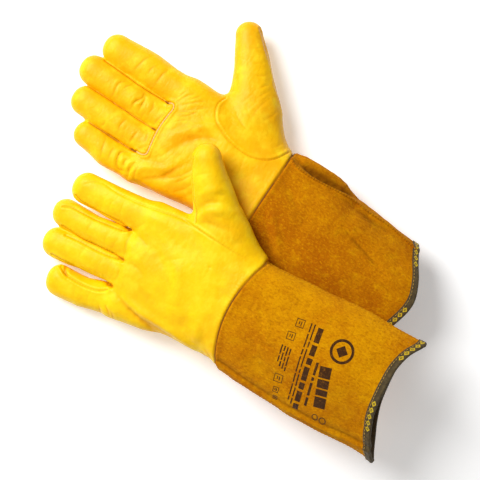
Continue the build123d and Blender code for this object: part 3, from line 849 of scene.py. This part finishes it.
def build_cuff(side, suede):
    """The cuff's two panels and its inner face; returns the outer face's grid and normals."""
    theta = spread_angles(side, CUFF_ROUND)
    T, V = np.meshgrid(theta, np.linspace(0, 1, CUFF_ROWS))
    co = cuff_points(side, T, V).reshape(-1, 3)
    faces = ring_faces(CUFF_ROWS, CUFF_ROUND)
    normal = vertex_normals(co, faces)
    skin = Skin(co, normal)
    seed = 21 if side == "left" else 34
    skin.rise += (lattice(co * (1, 0.7, 1), 34, seed) * 1.1 + lattice(co, 15, seed + 1) * 0.4
                  + lattice(co, 6, seed + 2) * 0.13) * np.clip(V.ravel() * 12, 0, 1)
    mark_cuff(side, skin, T.ravel())
    gap = np.abs(co[:, 1] - wrist_line(side, co[:, 0], co[:, 2]))
    skin.rise += -WRIST_DIP * bell(gap, 0.9) + 0.35 * bell(gap - 2.6, 1.8) * (1 + 0.3 * np.cos(co[:, 0] * 1.7))
    # Painted shade in the groove at the wrist's seam.
    skin.fold += 1.5 * bell(gap, 0.8)
    outer = co + normal * skin.rise[:, None]
    normal = vertex_normals(outer, faces)
    inner = outer - normal * SUEDE_WALL
    fold = {"fold": np.clip(skin.fold, 0, MOST_FOLD_SHADE)}
    centre = co[faces].mean(1)
    upper = centre[:, 2] > 0
    if side == "right":
        seam = np.array(RIGHT_SIDE_SEAM)[::-1]
        upper &= centre[:, 0] < np.interp(centre[:, 1], seam[:, 1], seam[:, 0])
    back = upper if side == "left" else ~upper
    made = []
    for name, mask in (("cuff_back_panel", back), ("cuff_palm_panel", ~back)):
        made.append(make_piece(f"{side}_{name}_suede", side, outer, faces[mask], normal, fold, [suede]))
        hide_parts(f"{side}_{name}")
    made.append(make_piece(f"{side}_cuff_inner_face", side, inner, faces[:, ::-1], -normal, fold, [suede]))
    for obj in made:
        bend(obj, side, "cuff", *CUFF_BEND)
    shape = (CUFF_ROWS, CUFF_ROUND, 3)
    return outer.reshape(shape), normal.reshape(shape)


# ---------------------------------------------------------------- seams, welts, binding and stitches
TAPE_WIDTH, MOTIF_PITCH = 6.2, 68.0
# The binding's stitches: length, radius and pitch; and the points along one, and round it.
STITCH = (2.2, 0.32, 3.3)
STITCH_POINTS, STITCH_SIDES = 7, 6
TUBE_SIDES = 10


def run_along(points):
    """How far along a line each of its points is."""
    return np.concatenate([[0], np.cumsum(np.linalg.norm(np.diff(points, axis=0), axis=1))])


def sweep(path, radius, ups, sides, flat):
    """A tube of vertices and quads along points, with each ring square to the path."""
    path = np.asarray(path, float)
    tangent = np.gradient(path, axis=0)
    tangent /= np.linalg.norm(tangent, axis=1, keepdims=True)
    across = np.cross(tangent, ups)
    across /= np.linalg.norm(across, axis=1, keepdims=True)
    up = np.cross(across, tangent)
    r = np.broadcast_to(radius, len(path))[:, None, None]
    a = np.linspace(0, 2 * PI, sides, endpoint=False)
    ring = np.cos(a)[None, :, None] * across[:, None] + flat * np.sin(a)[None, :, None] * up[:, None]
    return (path[:, None] + r * ring).reshape(-1, 3), ring_faces(len(path), sides)[:, ::-1]


def drape(tree, xy, face, lift=0.0):
    """Points on the upper (1) or lower (-1) face over each x and y, raised by lift, and their normals."""
    points, normals = [], []
    for x, y in xy:
        hit, normal, _, _ = tree.ray_cast((x, y, 60.0 * face), (0, 0, -face))
        if hit is None:
            hit, normal, _, _ = tree.find_nearest((x, y, 8.0 * face))
        points.append(hit + normal * lift)
        normals.append(normal)
    return np.array(points), np.array(normals)


def smooth_rows(rows, rounds):
    for _ in range(rounds):
        rows[1:-1] = (rows[:-2] + 2 * rows[1:-1] + rows[2:]) / 4
    return rows


def tube_piece(name, side, points, ups, radius, material, node, flat=1.0, joint_child=None):
    """A tapered strip along points of the surface; with a joint it is baked in place, otherwise it rides on the hand.
    """
    run = run_along(points)
    taper = np.clip(np.minimum(run, run[-1] - run) / (2 * radius), 0, 1)
    co, faces = sweep(points, radius * np.sqrt(1 - (1 - taper) ** 2) + 0.01, ups, TUBE_SIDES, flat)
    # The fold attribute here is painted shade that beats at the stitches' pitch along the strip.
    obj = make_piece(f"{side}_{name}", side, co, faces, None,
                     {"fold": np.repeat(0.5 + 0.3 * np.cos(run * 2 * PI / SEAM_PITCH), TUBE_SIDES)}, [material])
    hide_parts(f"{side}_{node}")
    if joint_child:
        bend(obj, side, joint_child, *CUFF_BEND)
    else:
        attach(obj, f"{side}_hand")


def build_hand_welts(side, tree, welt, leather):
    """The strips caught in the palm's seams: under the fingers, and round the thumb's root."""
    face = 1 if side == "right" else -1
    points, ups = drape(tree, smooth_path(PALM_CUT[side], 1.0), face, 0.35)
    tube_piece("palm_welt_strip", side, smooth_rows(points, 3), ups, 0.72, welt, "palm_welt", 0.85)
    points, ups = drape(tree, smooth_path(THUMB_CUT_LINE, 1.0), face, -0.2)
    tube_piece("thumb_welt_strip", side, smooth_rows(points, 4), ups, 0.45, leather, "thumb_welt",
               0.8)


def build_cuff_seams(side, outer, normal, tree, suede, thread):
    """The thread round the wrist and the two raised side seams."""
    wrap = np.vstack([outer[0], outer[0, :2]])
    ups = np.vstack([normal[0], normal[0, :2]])
    tube_piece("wrist_seam_thread", side, wrap + ups * 0.1, ups, 0.35, thread, "wrist_seam")
    half = outer.shape[1] // 2
    little = outer[2:-10, half], normal[2:-10, half]
    if side == "left":
        thumb = outer[2:-10, 0], normal[2:-10, 0]
    else:
        thumb = drape(tree, smooth_path(RIGHT_SIDE_SEAM, 1.0), 1)
    for name, (points, ups), radius in (("little_side", little, 0.55),
            ("thumb_side", thumb, 0.55 if side == "left" else 1.0)):
        tube_piece(f"cuff_seam_{name}_welt", side, smooth_rows(points + ups * 0.2, 3), ups, radius, suede,
                   f"cuff_seam_{name}", 0.8, "cuff")


def stitches(points, normals, length, radius, pitch):
    """Small thread loops lying along a line of surface points: vertices and quads for all of them."""
    run = run_along(points)
    arch = np.sqrt(np.clip(1 - np.linspace(-1, 1, STITCH_POINTS) ** 2, 0, 1))
    cos, faces = [], []
    for s in np.arange(pitch, run[-1] - pitch / 2, pitch):
        t = s + np.linspace(-length / 2, length / 2, STITCH_POINTS)
        p, u = (np.stack([np.interp(t, run, rows[:, k]) for k in range(3)], 1) for rows in (points, normals))
        co, f = sweep(p + u * (arch * radius * 0.9)[:, None], radius * (0.35 + 0.65 * arch), u, STITCH_SIDES, 0.8)
        faces.append(f + STITCH_POINTS * STITCH_SIDES * len(cos))
        cos.append(co)
    return np.vstack(cos), np.vstack(faces)


def build_binding(side, outer, normal, tape, thread):
    """The tape folded over the hem, and its row of stitches."""
    rows, n = outer.shape[:2]
    step = np.linalg.norm(outer[-1] - outer[-21], axis=1) / 20
    down = outer[-1] - outer[-14]
    down /= np.linalg.norm(down, axis=1, keepdims=True)
    hem = np.vstack([outer[-1], outer[-1, :1]])
    run = run_along(hem)
    run = (run * round(run[-1] / MOTIF_PITCH) * MOTIF_PITCH / run[-1])[:-1]
    ripple = 0.14 * np.sin(run / 2.1) * np.sin(run / 5.3)
    # (distance from the hem, height over the suede's outer face) across the tape.
    profile = [(-TAPE_WIDTH, 0.05), (-TAPE_WIDTH, 0.55), (-TAPE_WIDTH + 0.4, 0.85)]
    profile += [(-TAPE_WIDTH + 1 + k * 0.55, 0.9) for k in range(9)]
    profile += [(-0.3, 0.95), (0.6, 0.6), (1.2, -0.1), (1.3, -1.0), (1.0, -2.0), (0.2, -2.6)]
    profile += [(-k * 0.75, -2.7) for k in range(1, 8)] + [(-5.8, -2.3), (-5.8, -1.7)]
    co, across, j = [], [], np.arange(n)
    for s, h in profile:
        at = rows - 1 + np.minimum(s, 0) / step
        i = np.minimum(at.astype(int), rows - 2)
        f = (at - i)[:, None]
        p = outer[i, j] * (1 - f) + outer[i + 1, j] * f + down * max(s, 0)
        u = normal[i, j] * (1 - f) + normal[i + 1, j] * f
        co.append(p + u * (h + (ripple if h > 0.2 else 0 * ripple))[:, None])
        across.append(np.full(n, s if h > -0.5 else 4 - s))
    grid = np.array(co)
    co, faces = grid.reshape(-1, 3), ring_faces(len(profile), n)
    normals = vertex_normals(co, faces)
    obj = make_piece(f"{side}_binding_tape", side, co, faces, normals,
                     {"tape_run": np.tile(run, len(profile)), "tape_across": np.concatenate(across)}, [tape])
    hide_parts(f"{side}_cuff_binding")
    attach(obj, f"{side}_cuff")
    ups = normals.reshape(grid.shape)
    seam_row = 4
    rings = [np.vstack([a[seam_row], a[seam_row, :1]]) for a in (grid, ups)]
    co, faces = stitches(*rings, *STITCH)
    obj = make_piece(f"{side}_binding_stitches", side, co, faces, materials=[thread])
    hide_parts(f"{side}_binding_stitching")
    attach(obj, f"{side}_cuff")


# ---------------------------------------------------------------- the print: plain bars, boxes and rings
def quad_grid(corners, step=0.9):
    """A grid of plan points filling a four-cornered patch."""
    a, b, c, d = (np.array(p, float) for p in corners)
    nu, nv = (max(2, int(np.linalg.norm(e) / step)) + 1 for e in (b - a, d - a))
    u, v = np.meshgrid(np.linspace(0, 1, nu), np.linspace(0, 1, nv))
    u, v = u[..., None], v[..., None]
    p = a * (1 - u) * (1 - v) + b * u * (1 - v) + c * u * v + d * (1 - u) * v
    i, j = np.meshgrid(np.arange(nv - 1), np.arange(nu - 1), indexing="ij")
    k = i * nu + j
    return p.reshape(-1, 2), np.stack([k, k + 1, k + nu + 1, k + nu], -1).reshape(-1, 4)


def ring_patch(centre, radii, width, turn_by=0.0, sides=48, corners=None):
    """Plan points of a ring, round or with a few corners."""
    a = np.linspace(0, 2 * PI, sides + 1)[:-1]
    r = 1.0
    if corners:
        r = math.cos(PI / corners) / np.cos((a + PI / corners) % (2 * PI / corners) - PI / corners)
    unit = np.stack([np.cos(a), np.sin(a)], 1) * np.reshape(r, (-1, 1))
    c, s = math.cos(turn_by), math.sin(turn_by)
    spin = np.array([[c, s], [-s, c]])
    rows = [(unit * (np.array(radii) - t * width)) @ spin + centre for t in (0, 0.5, 1)]
    return np.vstack(rows), ring_faces(3, sides)


def print_shapes():
    """The print as plan shapes: lines of plain bars where words would be, boxes, rings and a badge."""
    shapes = []

    def bar(start, along_mm, high, slope=0.14):
        way = np.array([1, slope]) / math.hypot(1, slope)
        a = np.array(start, float)
        b, up = a - way * along_mm, np.array([-way[1], way[0]]) * high
        shapes.append(quad_grid([a, b, b + up, a + up]))
        return way

    def line(start, lengths, high, gap, slope=0.14):
        at = np.array(start, float)
        for length in lengths:
            at = at - bar(at, length, high, slope) * (length + gap)

    line((2.6, -96.0), (10.4, 8.2, 6.0, 10.4), 10.6, 1.5, 0.25)
    line((1.5, -83.6), (12.0, 3.6, 13.0, 8.6), 2.3, 2.0, 0.14)
    line((29.0, -74.0), (13.2, 9.4, 5.8, 13.4, 6.6, 10.2, 6.2), 5.0, 2.4, 0.125)
    line((29.4, -66.0), (14, 5, 17, 4, 12, 9, 6), 1.2, 1.6)
    line((29.0, -62.8), (8, 12, 5, 15, 9, 11, 4), 1.2, 1.6)
    for y, words in ((-56.4, (6, 9, 4)), (-53.6, (8, 4, 6)), (-50.8, (5, 7, 5)), (-48.0, (9, 6))):
        line((1.0, y), words, 1.2, 1.4)
    for (x, y), size in (((24.4, -53.0), 7.4), ((11.0, -50.6), 7.2), ((-29.8, -56.4), 8.0), ((-41.0, -58.6), 5.4),
                         ((-49.0, -60.6), 4.2)):
        shapes.append(ring_patch(np.array((x, y)), (size * 0.72, size * 0.72), 0.8, 0.14, corners=4))
        bar((x + size * 0.26, y - size * 0.16), size * 0.5, 0.9)
        bar((x + size * 0.2, y + size * 0.1), size * 0.36, 0.8)
    for centre, radii in (((-47.6, -100.6), (3.5, 2.9)), ((-47.6, -108.0), (3.9, 3.3))):
        shapes.append(ring_patch(np.array(centre), radii, 0.8, 0.2))
    badge = np.array([19.4, -97.0])
    shapes.append(ring_patch(badge, (10.8, 10.8), 2.4))
    shapes.append(ring_patch(badge, (5.6, 5.6), 5.55, 0.8, corners=4))
    return shapes


def build_print(side, tree, ink):
    """The print laid on the back of the cuff."""
    face = 1 if side == "left" else -1
    co, normals, faces, count = [], [], [], 0
    for plan, quads in print_shapes():
        points, ups = drape(tree, plan, face, 0.1)
        a, b, c = (points[quads[0, k]] for k in (0, 1, 2))
        if np.cross(b - a, c - a)[2] * face < 0:
            quads = quads[:, ::-1]
        co.append(points)
        normals.append(ups)
        faces.append(quads + count)
        count += len(points)
    obj = make_piece(f"{side}_cuff_print", side, np.vstack(co), np.vstack(faces), np.vstack(normals), None, [ink])
    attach(obj, f"{side}_cuff")


# ---------------------------------------------------------------- materials
def linear(r, g, b):
    """A shader's colour from 0 to 255 screen values."""
    screen = (c / 255 for c in (r, g, b))
    return tuple(c / 12.92 if c <= 0.04045 else ((c + 0.055) / 1.055) ** 2.4 for c in screen) + (1,)


class Nodes:
    """Short ways to put a material's nodes together."""

    def __init__(self, name):
        self.material = bpy.data.materials.new(name)
        self.material.use_nodes = True
        self.tree = self.material.node_tree
        self.shader = self.tree.nodes["Principled BSDF"]

    def node(self, kind, inputs=None, **settings):
        n = self.tree.nodes.new(kind)
        for key, value in settings.items():
            setattr(n, key, value)
        for key, value in (inputs or {}).items():
            self.put(n.inputs[key], value)
        return n

    def put(self, socket, value):
        if isinstance(value, bpy.types.NodeSocket):
            self.tree.links.new(value, socket)
        else:
            socket.default_value = value

    def attribute(self, name, output="Fac"):
        return self.node("ShaderNodeAttribute", attribute_name=name).outputs[output]

    def math(self, operation, a, b=0.0):
        return self.node("ShaderNodeMath", {0: a, 1: b}, operation=operation).outputs[0]

    def noise(self, vector, scale, detail=3.0, rough=0.55, distortion=0.0):
        inputs = {"Vector": vector, "Scale": scale, "Detail": detail, "Roughness": rough, "Distortion": distortion}
        return self.node("ShaderNodeTexNoise", inputs).outputs["Fac"]

    def cell_edges(self, vector, scale):
        """The distance to the nearest edge between random cells."""
        return self.node("ShaderNodeTexVoronoi", {"Vector": vector, "Scale": scale},
                         feature="DISTANCE_TO_EDGE").outputs["Distance"]

    def spread(self, value, low, high, to_low=0.0, to_high=1.0):
        inputs = {"Value": value, "From Min": low, "From Max": high, "To Min": to_low, "To Max": to_high}
        return self.node("ShaderNodeMapRange", inputs, interpolation_type="SMOOTHSTEP").outputs[0]

    def mix(self, factor, a, b):
        n = self.node("ShaderNodeMix", data_type="RGBA")
        for socket, value in ((n.inputs[0], factor), (n.inputs[6], a), (n.inputs[7], b)):
            self.put(socket, value)
        return n.outputs[2]

    def tint(self, colour, value, low, high, most, rgb):
        """Mix a colour in by up to most as value goes from low to high."""
        return self.mix(self.spread(value, low, high, 0.0, most), colour, linear(*rgb))

    def stretch(self, vector, x, y, z):
        return self.node("ShaderNodeVectorMath", {0: vector, 1: (x, y, z)}, operation="MULTIPLY").outputs[0]

    def bump(self, height, distance, strength=1.0, below=None):
        inputs = {"Height": height, "Distance": distance, "Strength": strength}
        if below is not None:
            inputs["Normal"] = below
        return self.node("ShaderNodeBump", inputs).outputs[0]

    def finish(self, colour, roughness, normal, **constants):
        for name, value in (("Base Color", colour), ("Roughness", roughness), ("Normal", normal)):
            self.put(self.shader.inputs[name], value)
        for name, value in constants.items():
            self.shader.inputs[name.replace("_", " ")].default_value = value
        return self.material


def leather_material(name, base, pale):
    m = Nodes(name)
    where = m.attribute("glove", "Vector")
    fold = m.attribute("fold")
    broad, cloud = m.noise(where, 0.022, 3.0), m.noise(where, 0.08, 3.0)
    colour = m.mix(m.spread(broad, 0.35, 0.68), linear(*base), linear(*pale))
    mottle = m.noise(where, 0.3, 4.0, 0.6)
    colour = m.tint(colour, cloud, 0.45, 0.75, 0.5, (255, 224, 34))
    colour = m.tint(colour, cloud, 0.48, 0.24, 0.4, (238, 172, 0))
    colour = m.tint(colour, mottle, 0.5, 0.3, 0.1, (236, 166, 0))
    colour = m.tint(colour, mottle, 0.5, 0.7, 0.1, (255, 226, 50))
    grain_at = m.node("ShaderNodeVectorMath", {0: where, 1: m.noise(where, 0.9, 2.0)}, operation="ADD").outputs[0]
    edge = m.cell_edges(grain_at, 0.95)
    pores = m.noise(where, 3.2, 2.0)
    colour = m.tint(colour, edge, 0.12, 0.0, 0.1, (234, 164, 0))
    # Painted shade in folds, creases and seams from the fold attribute: orange, then deep brown where strongest.
    colour = m.tint(colour, fold, 0.04, 0.6, 0.75, (228, 152, 0))
    colour = m.tint(colour, fold, 0.55, 1.5, 0.85, (122, 62, 0))
    rough = m.math("ADD", m.spread(cloud, 0.3, 0.7, 0.36, 0.46), m.spread(pores, 0.4, 0.7, 0.0, 0.06))
    wrinkle = m.noise(m.stretch(where, 0.8, 1.25, 1.0), 0.24, 3.0, 0.5, 0.4)
    grain = m.noise(m.stretch(where, 0.7, 1.3, 1.0), 0.75, 4.0, 0.6, 0.5)
    normal = m.bump(wrinkle, 0.0006, 0.6)
    normal = m.bump(grain, 0.0001, 0.6, normal)
    normal = m.bump(m.spread(edge, 0.0, 0.2), 0.00005, 0.5, normal)
    return m.finish(colour, rough, normal, Specular_IOR_Level=0.32, Specular_Tint=(1.0, 0.87, 0.5, 1))


def flesh_material():
    m = Nodes("leather_flesh_side")
    where = m.attribute("glove", "Vector")
    nap = m.noise(where, 1.6, 5.0, 0.7)
    colour = m.mix(m.spread(m.noise(where, 0.12, 3.0), 0.3, 0.7), linear(222, 178, 70), linear(238, 200, 96))
    colour = m.tint(colour, nap, 0.55, 0.3, 0.4, (190, 140, 40))
    return m.finish(colour, 0.95, m.bump(nap, 0.0004, 0.8), Specular_IOR_Level=0.15, Sheen_Weight=0.2)


def suede_material(name, base, pale):
    m = Nodes(name)
    where = m.attribute("glove", "Vector")
    fold = m.attribute("fold")
    broad, cloud = m.noise(where, 0.024, 3.0, 0.5), m.noise(where, 0.1, 4.0, 0.6, 0.4)
    nap = m.noise(m.stretch(where, 1.0, 0.62, 1.0), 0.6, 7.0, 0.72, 0.3)
    fibre = m.noise(m.stretch(where, 1.0, 0.5, 1.0), 2.6, 4.0, 0.7)
    brushed = m.noise(m.stretch(where, 1.0, 0.35, 1.0), 0.2, 4.0, 0.6, 0.6)
    colour = m.mix(m.spread(broad, 0.32, 0.68), linear(*base), linear(*pale))
    colour = m.tint(colour, cloud, 0.5, 0.76, 0.45, (230, 166, 0))
    colour = m.tint(colour, cloud, 0.48, 0.24, 0.4, (174, 96, 0))
    colour = m.tint(colour, brushed, 0.5, 0.26, 0.4, (160, 88, 0))
    colour = m.tint(colour, nap, 0.52, 0.3, 0.6, (150, 80, 0))
    colour = m.tint(colour, nap, 0.5, 0.7, 0.5, (240, 176, 6))
    colour = m.tint(colour, fibre, 0.5, 0.28, 0.35, (140, 74, 0))
    # Painted shade in the cuff's folds and seams from the fold attribute.
    colour = m.tint(colour, fold, 0.1, 1.1, 0.75, (96, 46, 0))
    height = m.math("ADD", nap, m.math("MULTIPLY", fibre, 0.5))
    return m.finish(colour, m.spread(nap, 0.3, 0.7, 0.98, 0.86), m.bump(height, 0.0008, 0.9),
                    Specular_IOR_Level=0.05, Sheen_Weight=0.06, Sheen_Roughness=0.6, Sheen_Tint=(1.0, 0.7, 0.15, 1))


def welt_material():
    m = Nodes("pale_welt_leather")
    where = m.attribute("glove", "Vector")
    grain = m.noise(where, 1.4, 4.0, 0.65)
    colour = m.mix(m.spread(grain, 0.35, 0.65), linear(214, 168, 84), linear(240, 204, 128))
    # Painted shade that beats at the stitches' pitch, from the fold attribute.
    colour = m.tint(colour, m.attribute("fold"), 0.45, 0.2, 0.35, (170, 112, 30))
    return m.finish(colour, 0.6, m.bump(grain, 0.0003, 0.7), Specular_IOR_Level=0.35)


def tape_material():
    m = Nodes("woven_binding_tape")
    run, across = m.attribute("tape_run"), m.attribute("tape_across")
    where = m.attribute("glove", "Vector")
    rib = m.math("SINE", m.math("MULTIPLY", run, 2 * PI / 0.85))
    pick = m.math("SINE", m.math("MULTIPLY", across, 2 * PI / 0.6))
    weave = m.math("MULTIPLY", rib, pick)
    worn = m.noise(where, 0.35, 4.0)
    colour = m.mix(m.spread(worn, 0.35, 0.7), linear(64, 50, 24), linear(92, 76, 42))
    colour = m.tint(colour, weave, -0.2, 1.0, 0.35, (118, 100, 60))
    # A group of small rhombi woven in yellow, once in every pitch.
    place = m.math("MODULO", run, MOTIF_PITCH)
    cell = m.math("ABSOLUTE", m.math("SUBTRACT", m.math("MODULO", place, 6.0), 3.0))
    high = m.math("ABSOLUTE", m.math("ADD", across, 2.4))
    shape = m.math("ADD", m.math("DIVIDE", cell, 2.7), m.math("DIVIDE", high, 2.2))
    ring = m.math("MULTIPLY", m.math("LESS_THAN", shape, 1.0), m.math("GREATER_THAN", shape, 0.5))
    dot = m.math("LESS_THAN", shape, 0.2)
    group = m.math("MULTIPLY", m.math("LESS_THAN", place, 30.0), m.math("LESS_THAN", across, 1.0))
    motif = m.math("MULTIPLY", m.math("ADD", ring, dot), group)
    colour = m.mix(m.math("MULTIPLY", motif, 0.92), colour, linear(226, 190, 20))
    colour = m.tint(colour, across, -TAPE_WIDTH + 0.9, -TAPE_WIDTH + 0.2, 0.6, (40, 30, 14))
    height = m.math("ADD", m.math("MULTIPLY", weave, 0.5), m.math("MULTIPLY", motif, 0.5))
    return m.finish(colour, 0.72, m.bump(height, 0.00015, 0.8), Specular_IOR_Level=0.3, Sheen_Weight=0.1)


def thread_material(name, dark, light):
    m = Nodes(name)
    where = m.attribute("glove", "Vector")
    twist = m.noise(where, 4.0, 2.0)
    colour = m.mix(m.spread(twist, 0.35, 0.65), linear(*dark), linear(*light))
    return m.finish(colour, 0.6, m.bump(twist, 0.0001, 0.6), Specular_IOR_Level=0.35)


def ink_material():
    m = Nodes("worn_print_ink")
    where = m.attribute("glove", "Vector")
    nap = m.noise(m.stretch(where, 1.0, 0.7, 1.0), 1.25, 6.0, 0.78)
    wear = m.math("ADD", m.math("MULTIPLY", nap, 0.7), m.math("MULTIPLY", m.noise(where, 0.22, 3.0), 0.3))
    colour = m.mix(m.spread(wear, 0.5, 0.66, 0.0, 0.75), linear(62, 34, 8), linear(150, 92, 6))
    return m.finish(colour, 0.9, m.bump(nap, 0.0006, 0.8), Specular_IOR_Level=0.15, Sheen_Weight=0.1)


def floor_material():
    m = Nodes("pale_floor")
    m.put(m.shader.inputs["Base Color"], (0.96, 0.96, 0.96, 1))
    m.put(m.shader.inputs["Roughness"], 0.9)
    m.put(m.shader.inputs["Specular IOR Level"], 0.0)
    m.put(m.shader.inputs["Emission Color"], (1.0, 0.985, 0.96, 1))
    m.put(m.shader.inputs["Emission Strength"], FLOOR_GLOW)
    return m.material


# ---------------------------------------------------------------- putting it together
def build_gloves():
    # One leather and one suede in two copies: the right glove's darker ones are painted shade for the glove lying
    # underneath, the left's the lit ones.
    leather = {"left": leather_material("grain_leather_painted_lit", (248, 190, 0), (253, 206, 0)),
               "right": leather_material("grain_leather_painted_shade", (242, 175, 0), (250, 194, 0))}
    suede = {"left": suede_material("suede_painted_lit", (194, 117, 0), (214, 144, 0)),
             "right": suede_material("suede_painted_shade", (180, 100, 0), (200, 124, 0))}
    flesh = flesh_material()
    welt, tape, ink = welt_material(), tape_material(), ink_material()
    thread = thread_material("spun_thread", (150, 108, 34), (206, 168, 84))
    seam_thread = thread_material("brown_seam_thread", (96, 52, 4), (140, 86, 14))
    for side in ("right", "left"):
        hand = build_hand(side, leather[side], flesh)
        build_hand_welts(side, hand, welt, leather[side])
        outer, normal = build_cuff(side, suede[side])
        cuff = BVHTree.FromPolygons(outer.reshape(-1, 3).tolist(), ring_faces(CUFF_ROWS, CUFF_ROUND).tolist())
        build_cuff_seams(side, outer, normal, cuff, suede[side], seam_thread)
        build_binding(side, outer, normal, tape, thread)
        build_print(side, cuff, ink)


def area_light(name, place, target, size, power, colour=(1, 1, 1)):
    data = bpy.data.lights.new(name, "AREA")
    data.shape, data.size, data.energy, data.color = "DISK", size, power, colour
    obj = add_object(name, data)
    obj.location = place
    obj.rotation_euler = (Vector(target) - obj.location).to_track_quat("-Z", "Y").to_euler()


def build_studio():
    low = min(0.0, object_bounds()[0][2])
    mesh = bpy.data.meshes.new("floor")
    mesh.from_pydata([(-4, -4, low), (4, -4, low), (4, 4, low), (-4, 4, low)], [], [(0, 1, 2, 3)])
    mesh.materials.append(floor_material())
    add_object("floor", mesh)
    world = bpy.data.worlds.new("studio")
    world.use_nodes = True
    world.node_tree.nodes["Background"].inputs[0].default_value = (1, 1, 1, 1)
    world.node_tree.nodes["Background"].inputs[1].default_value = AMBIENT
    bpy.context.scene.world = world
    # Seen from the camera, the key light is at the upper left and the fill at the lower left.
    area_light("key", (0.25, 1.15, 1.2), (0, 0, 0.03), 1.0, 33)
    area_light("fill", (-1.2, 0.4, 1.2), (0, 0, 0.03), 1.2, 3)
    camera = bpy.data.cameras.new("camera")
    camera.lens, camera.sensor_width = 100.0, 36.0
    obj = add_object("camera", camera)
    # It looks straight down, turned by 60 degrees.
    c, s = 0.5, math.sqrt(3) / 2
    x, y, z = CAMERA_AT
    obj.matrix_world = Matrix(((c, s, 0, x), (-s, c, 0, y), (0, 0, 1, z), (0, 0, 0, 1)))
    bpy.context.scene.camera = obj
    bpy.context.scene.view_settings.view_transform = "Standard"


build_gloves()
build_studio()
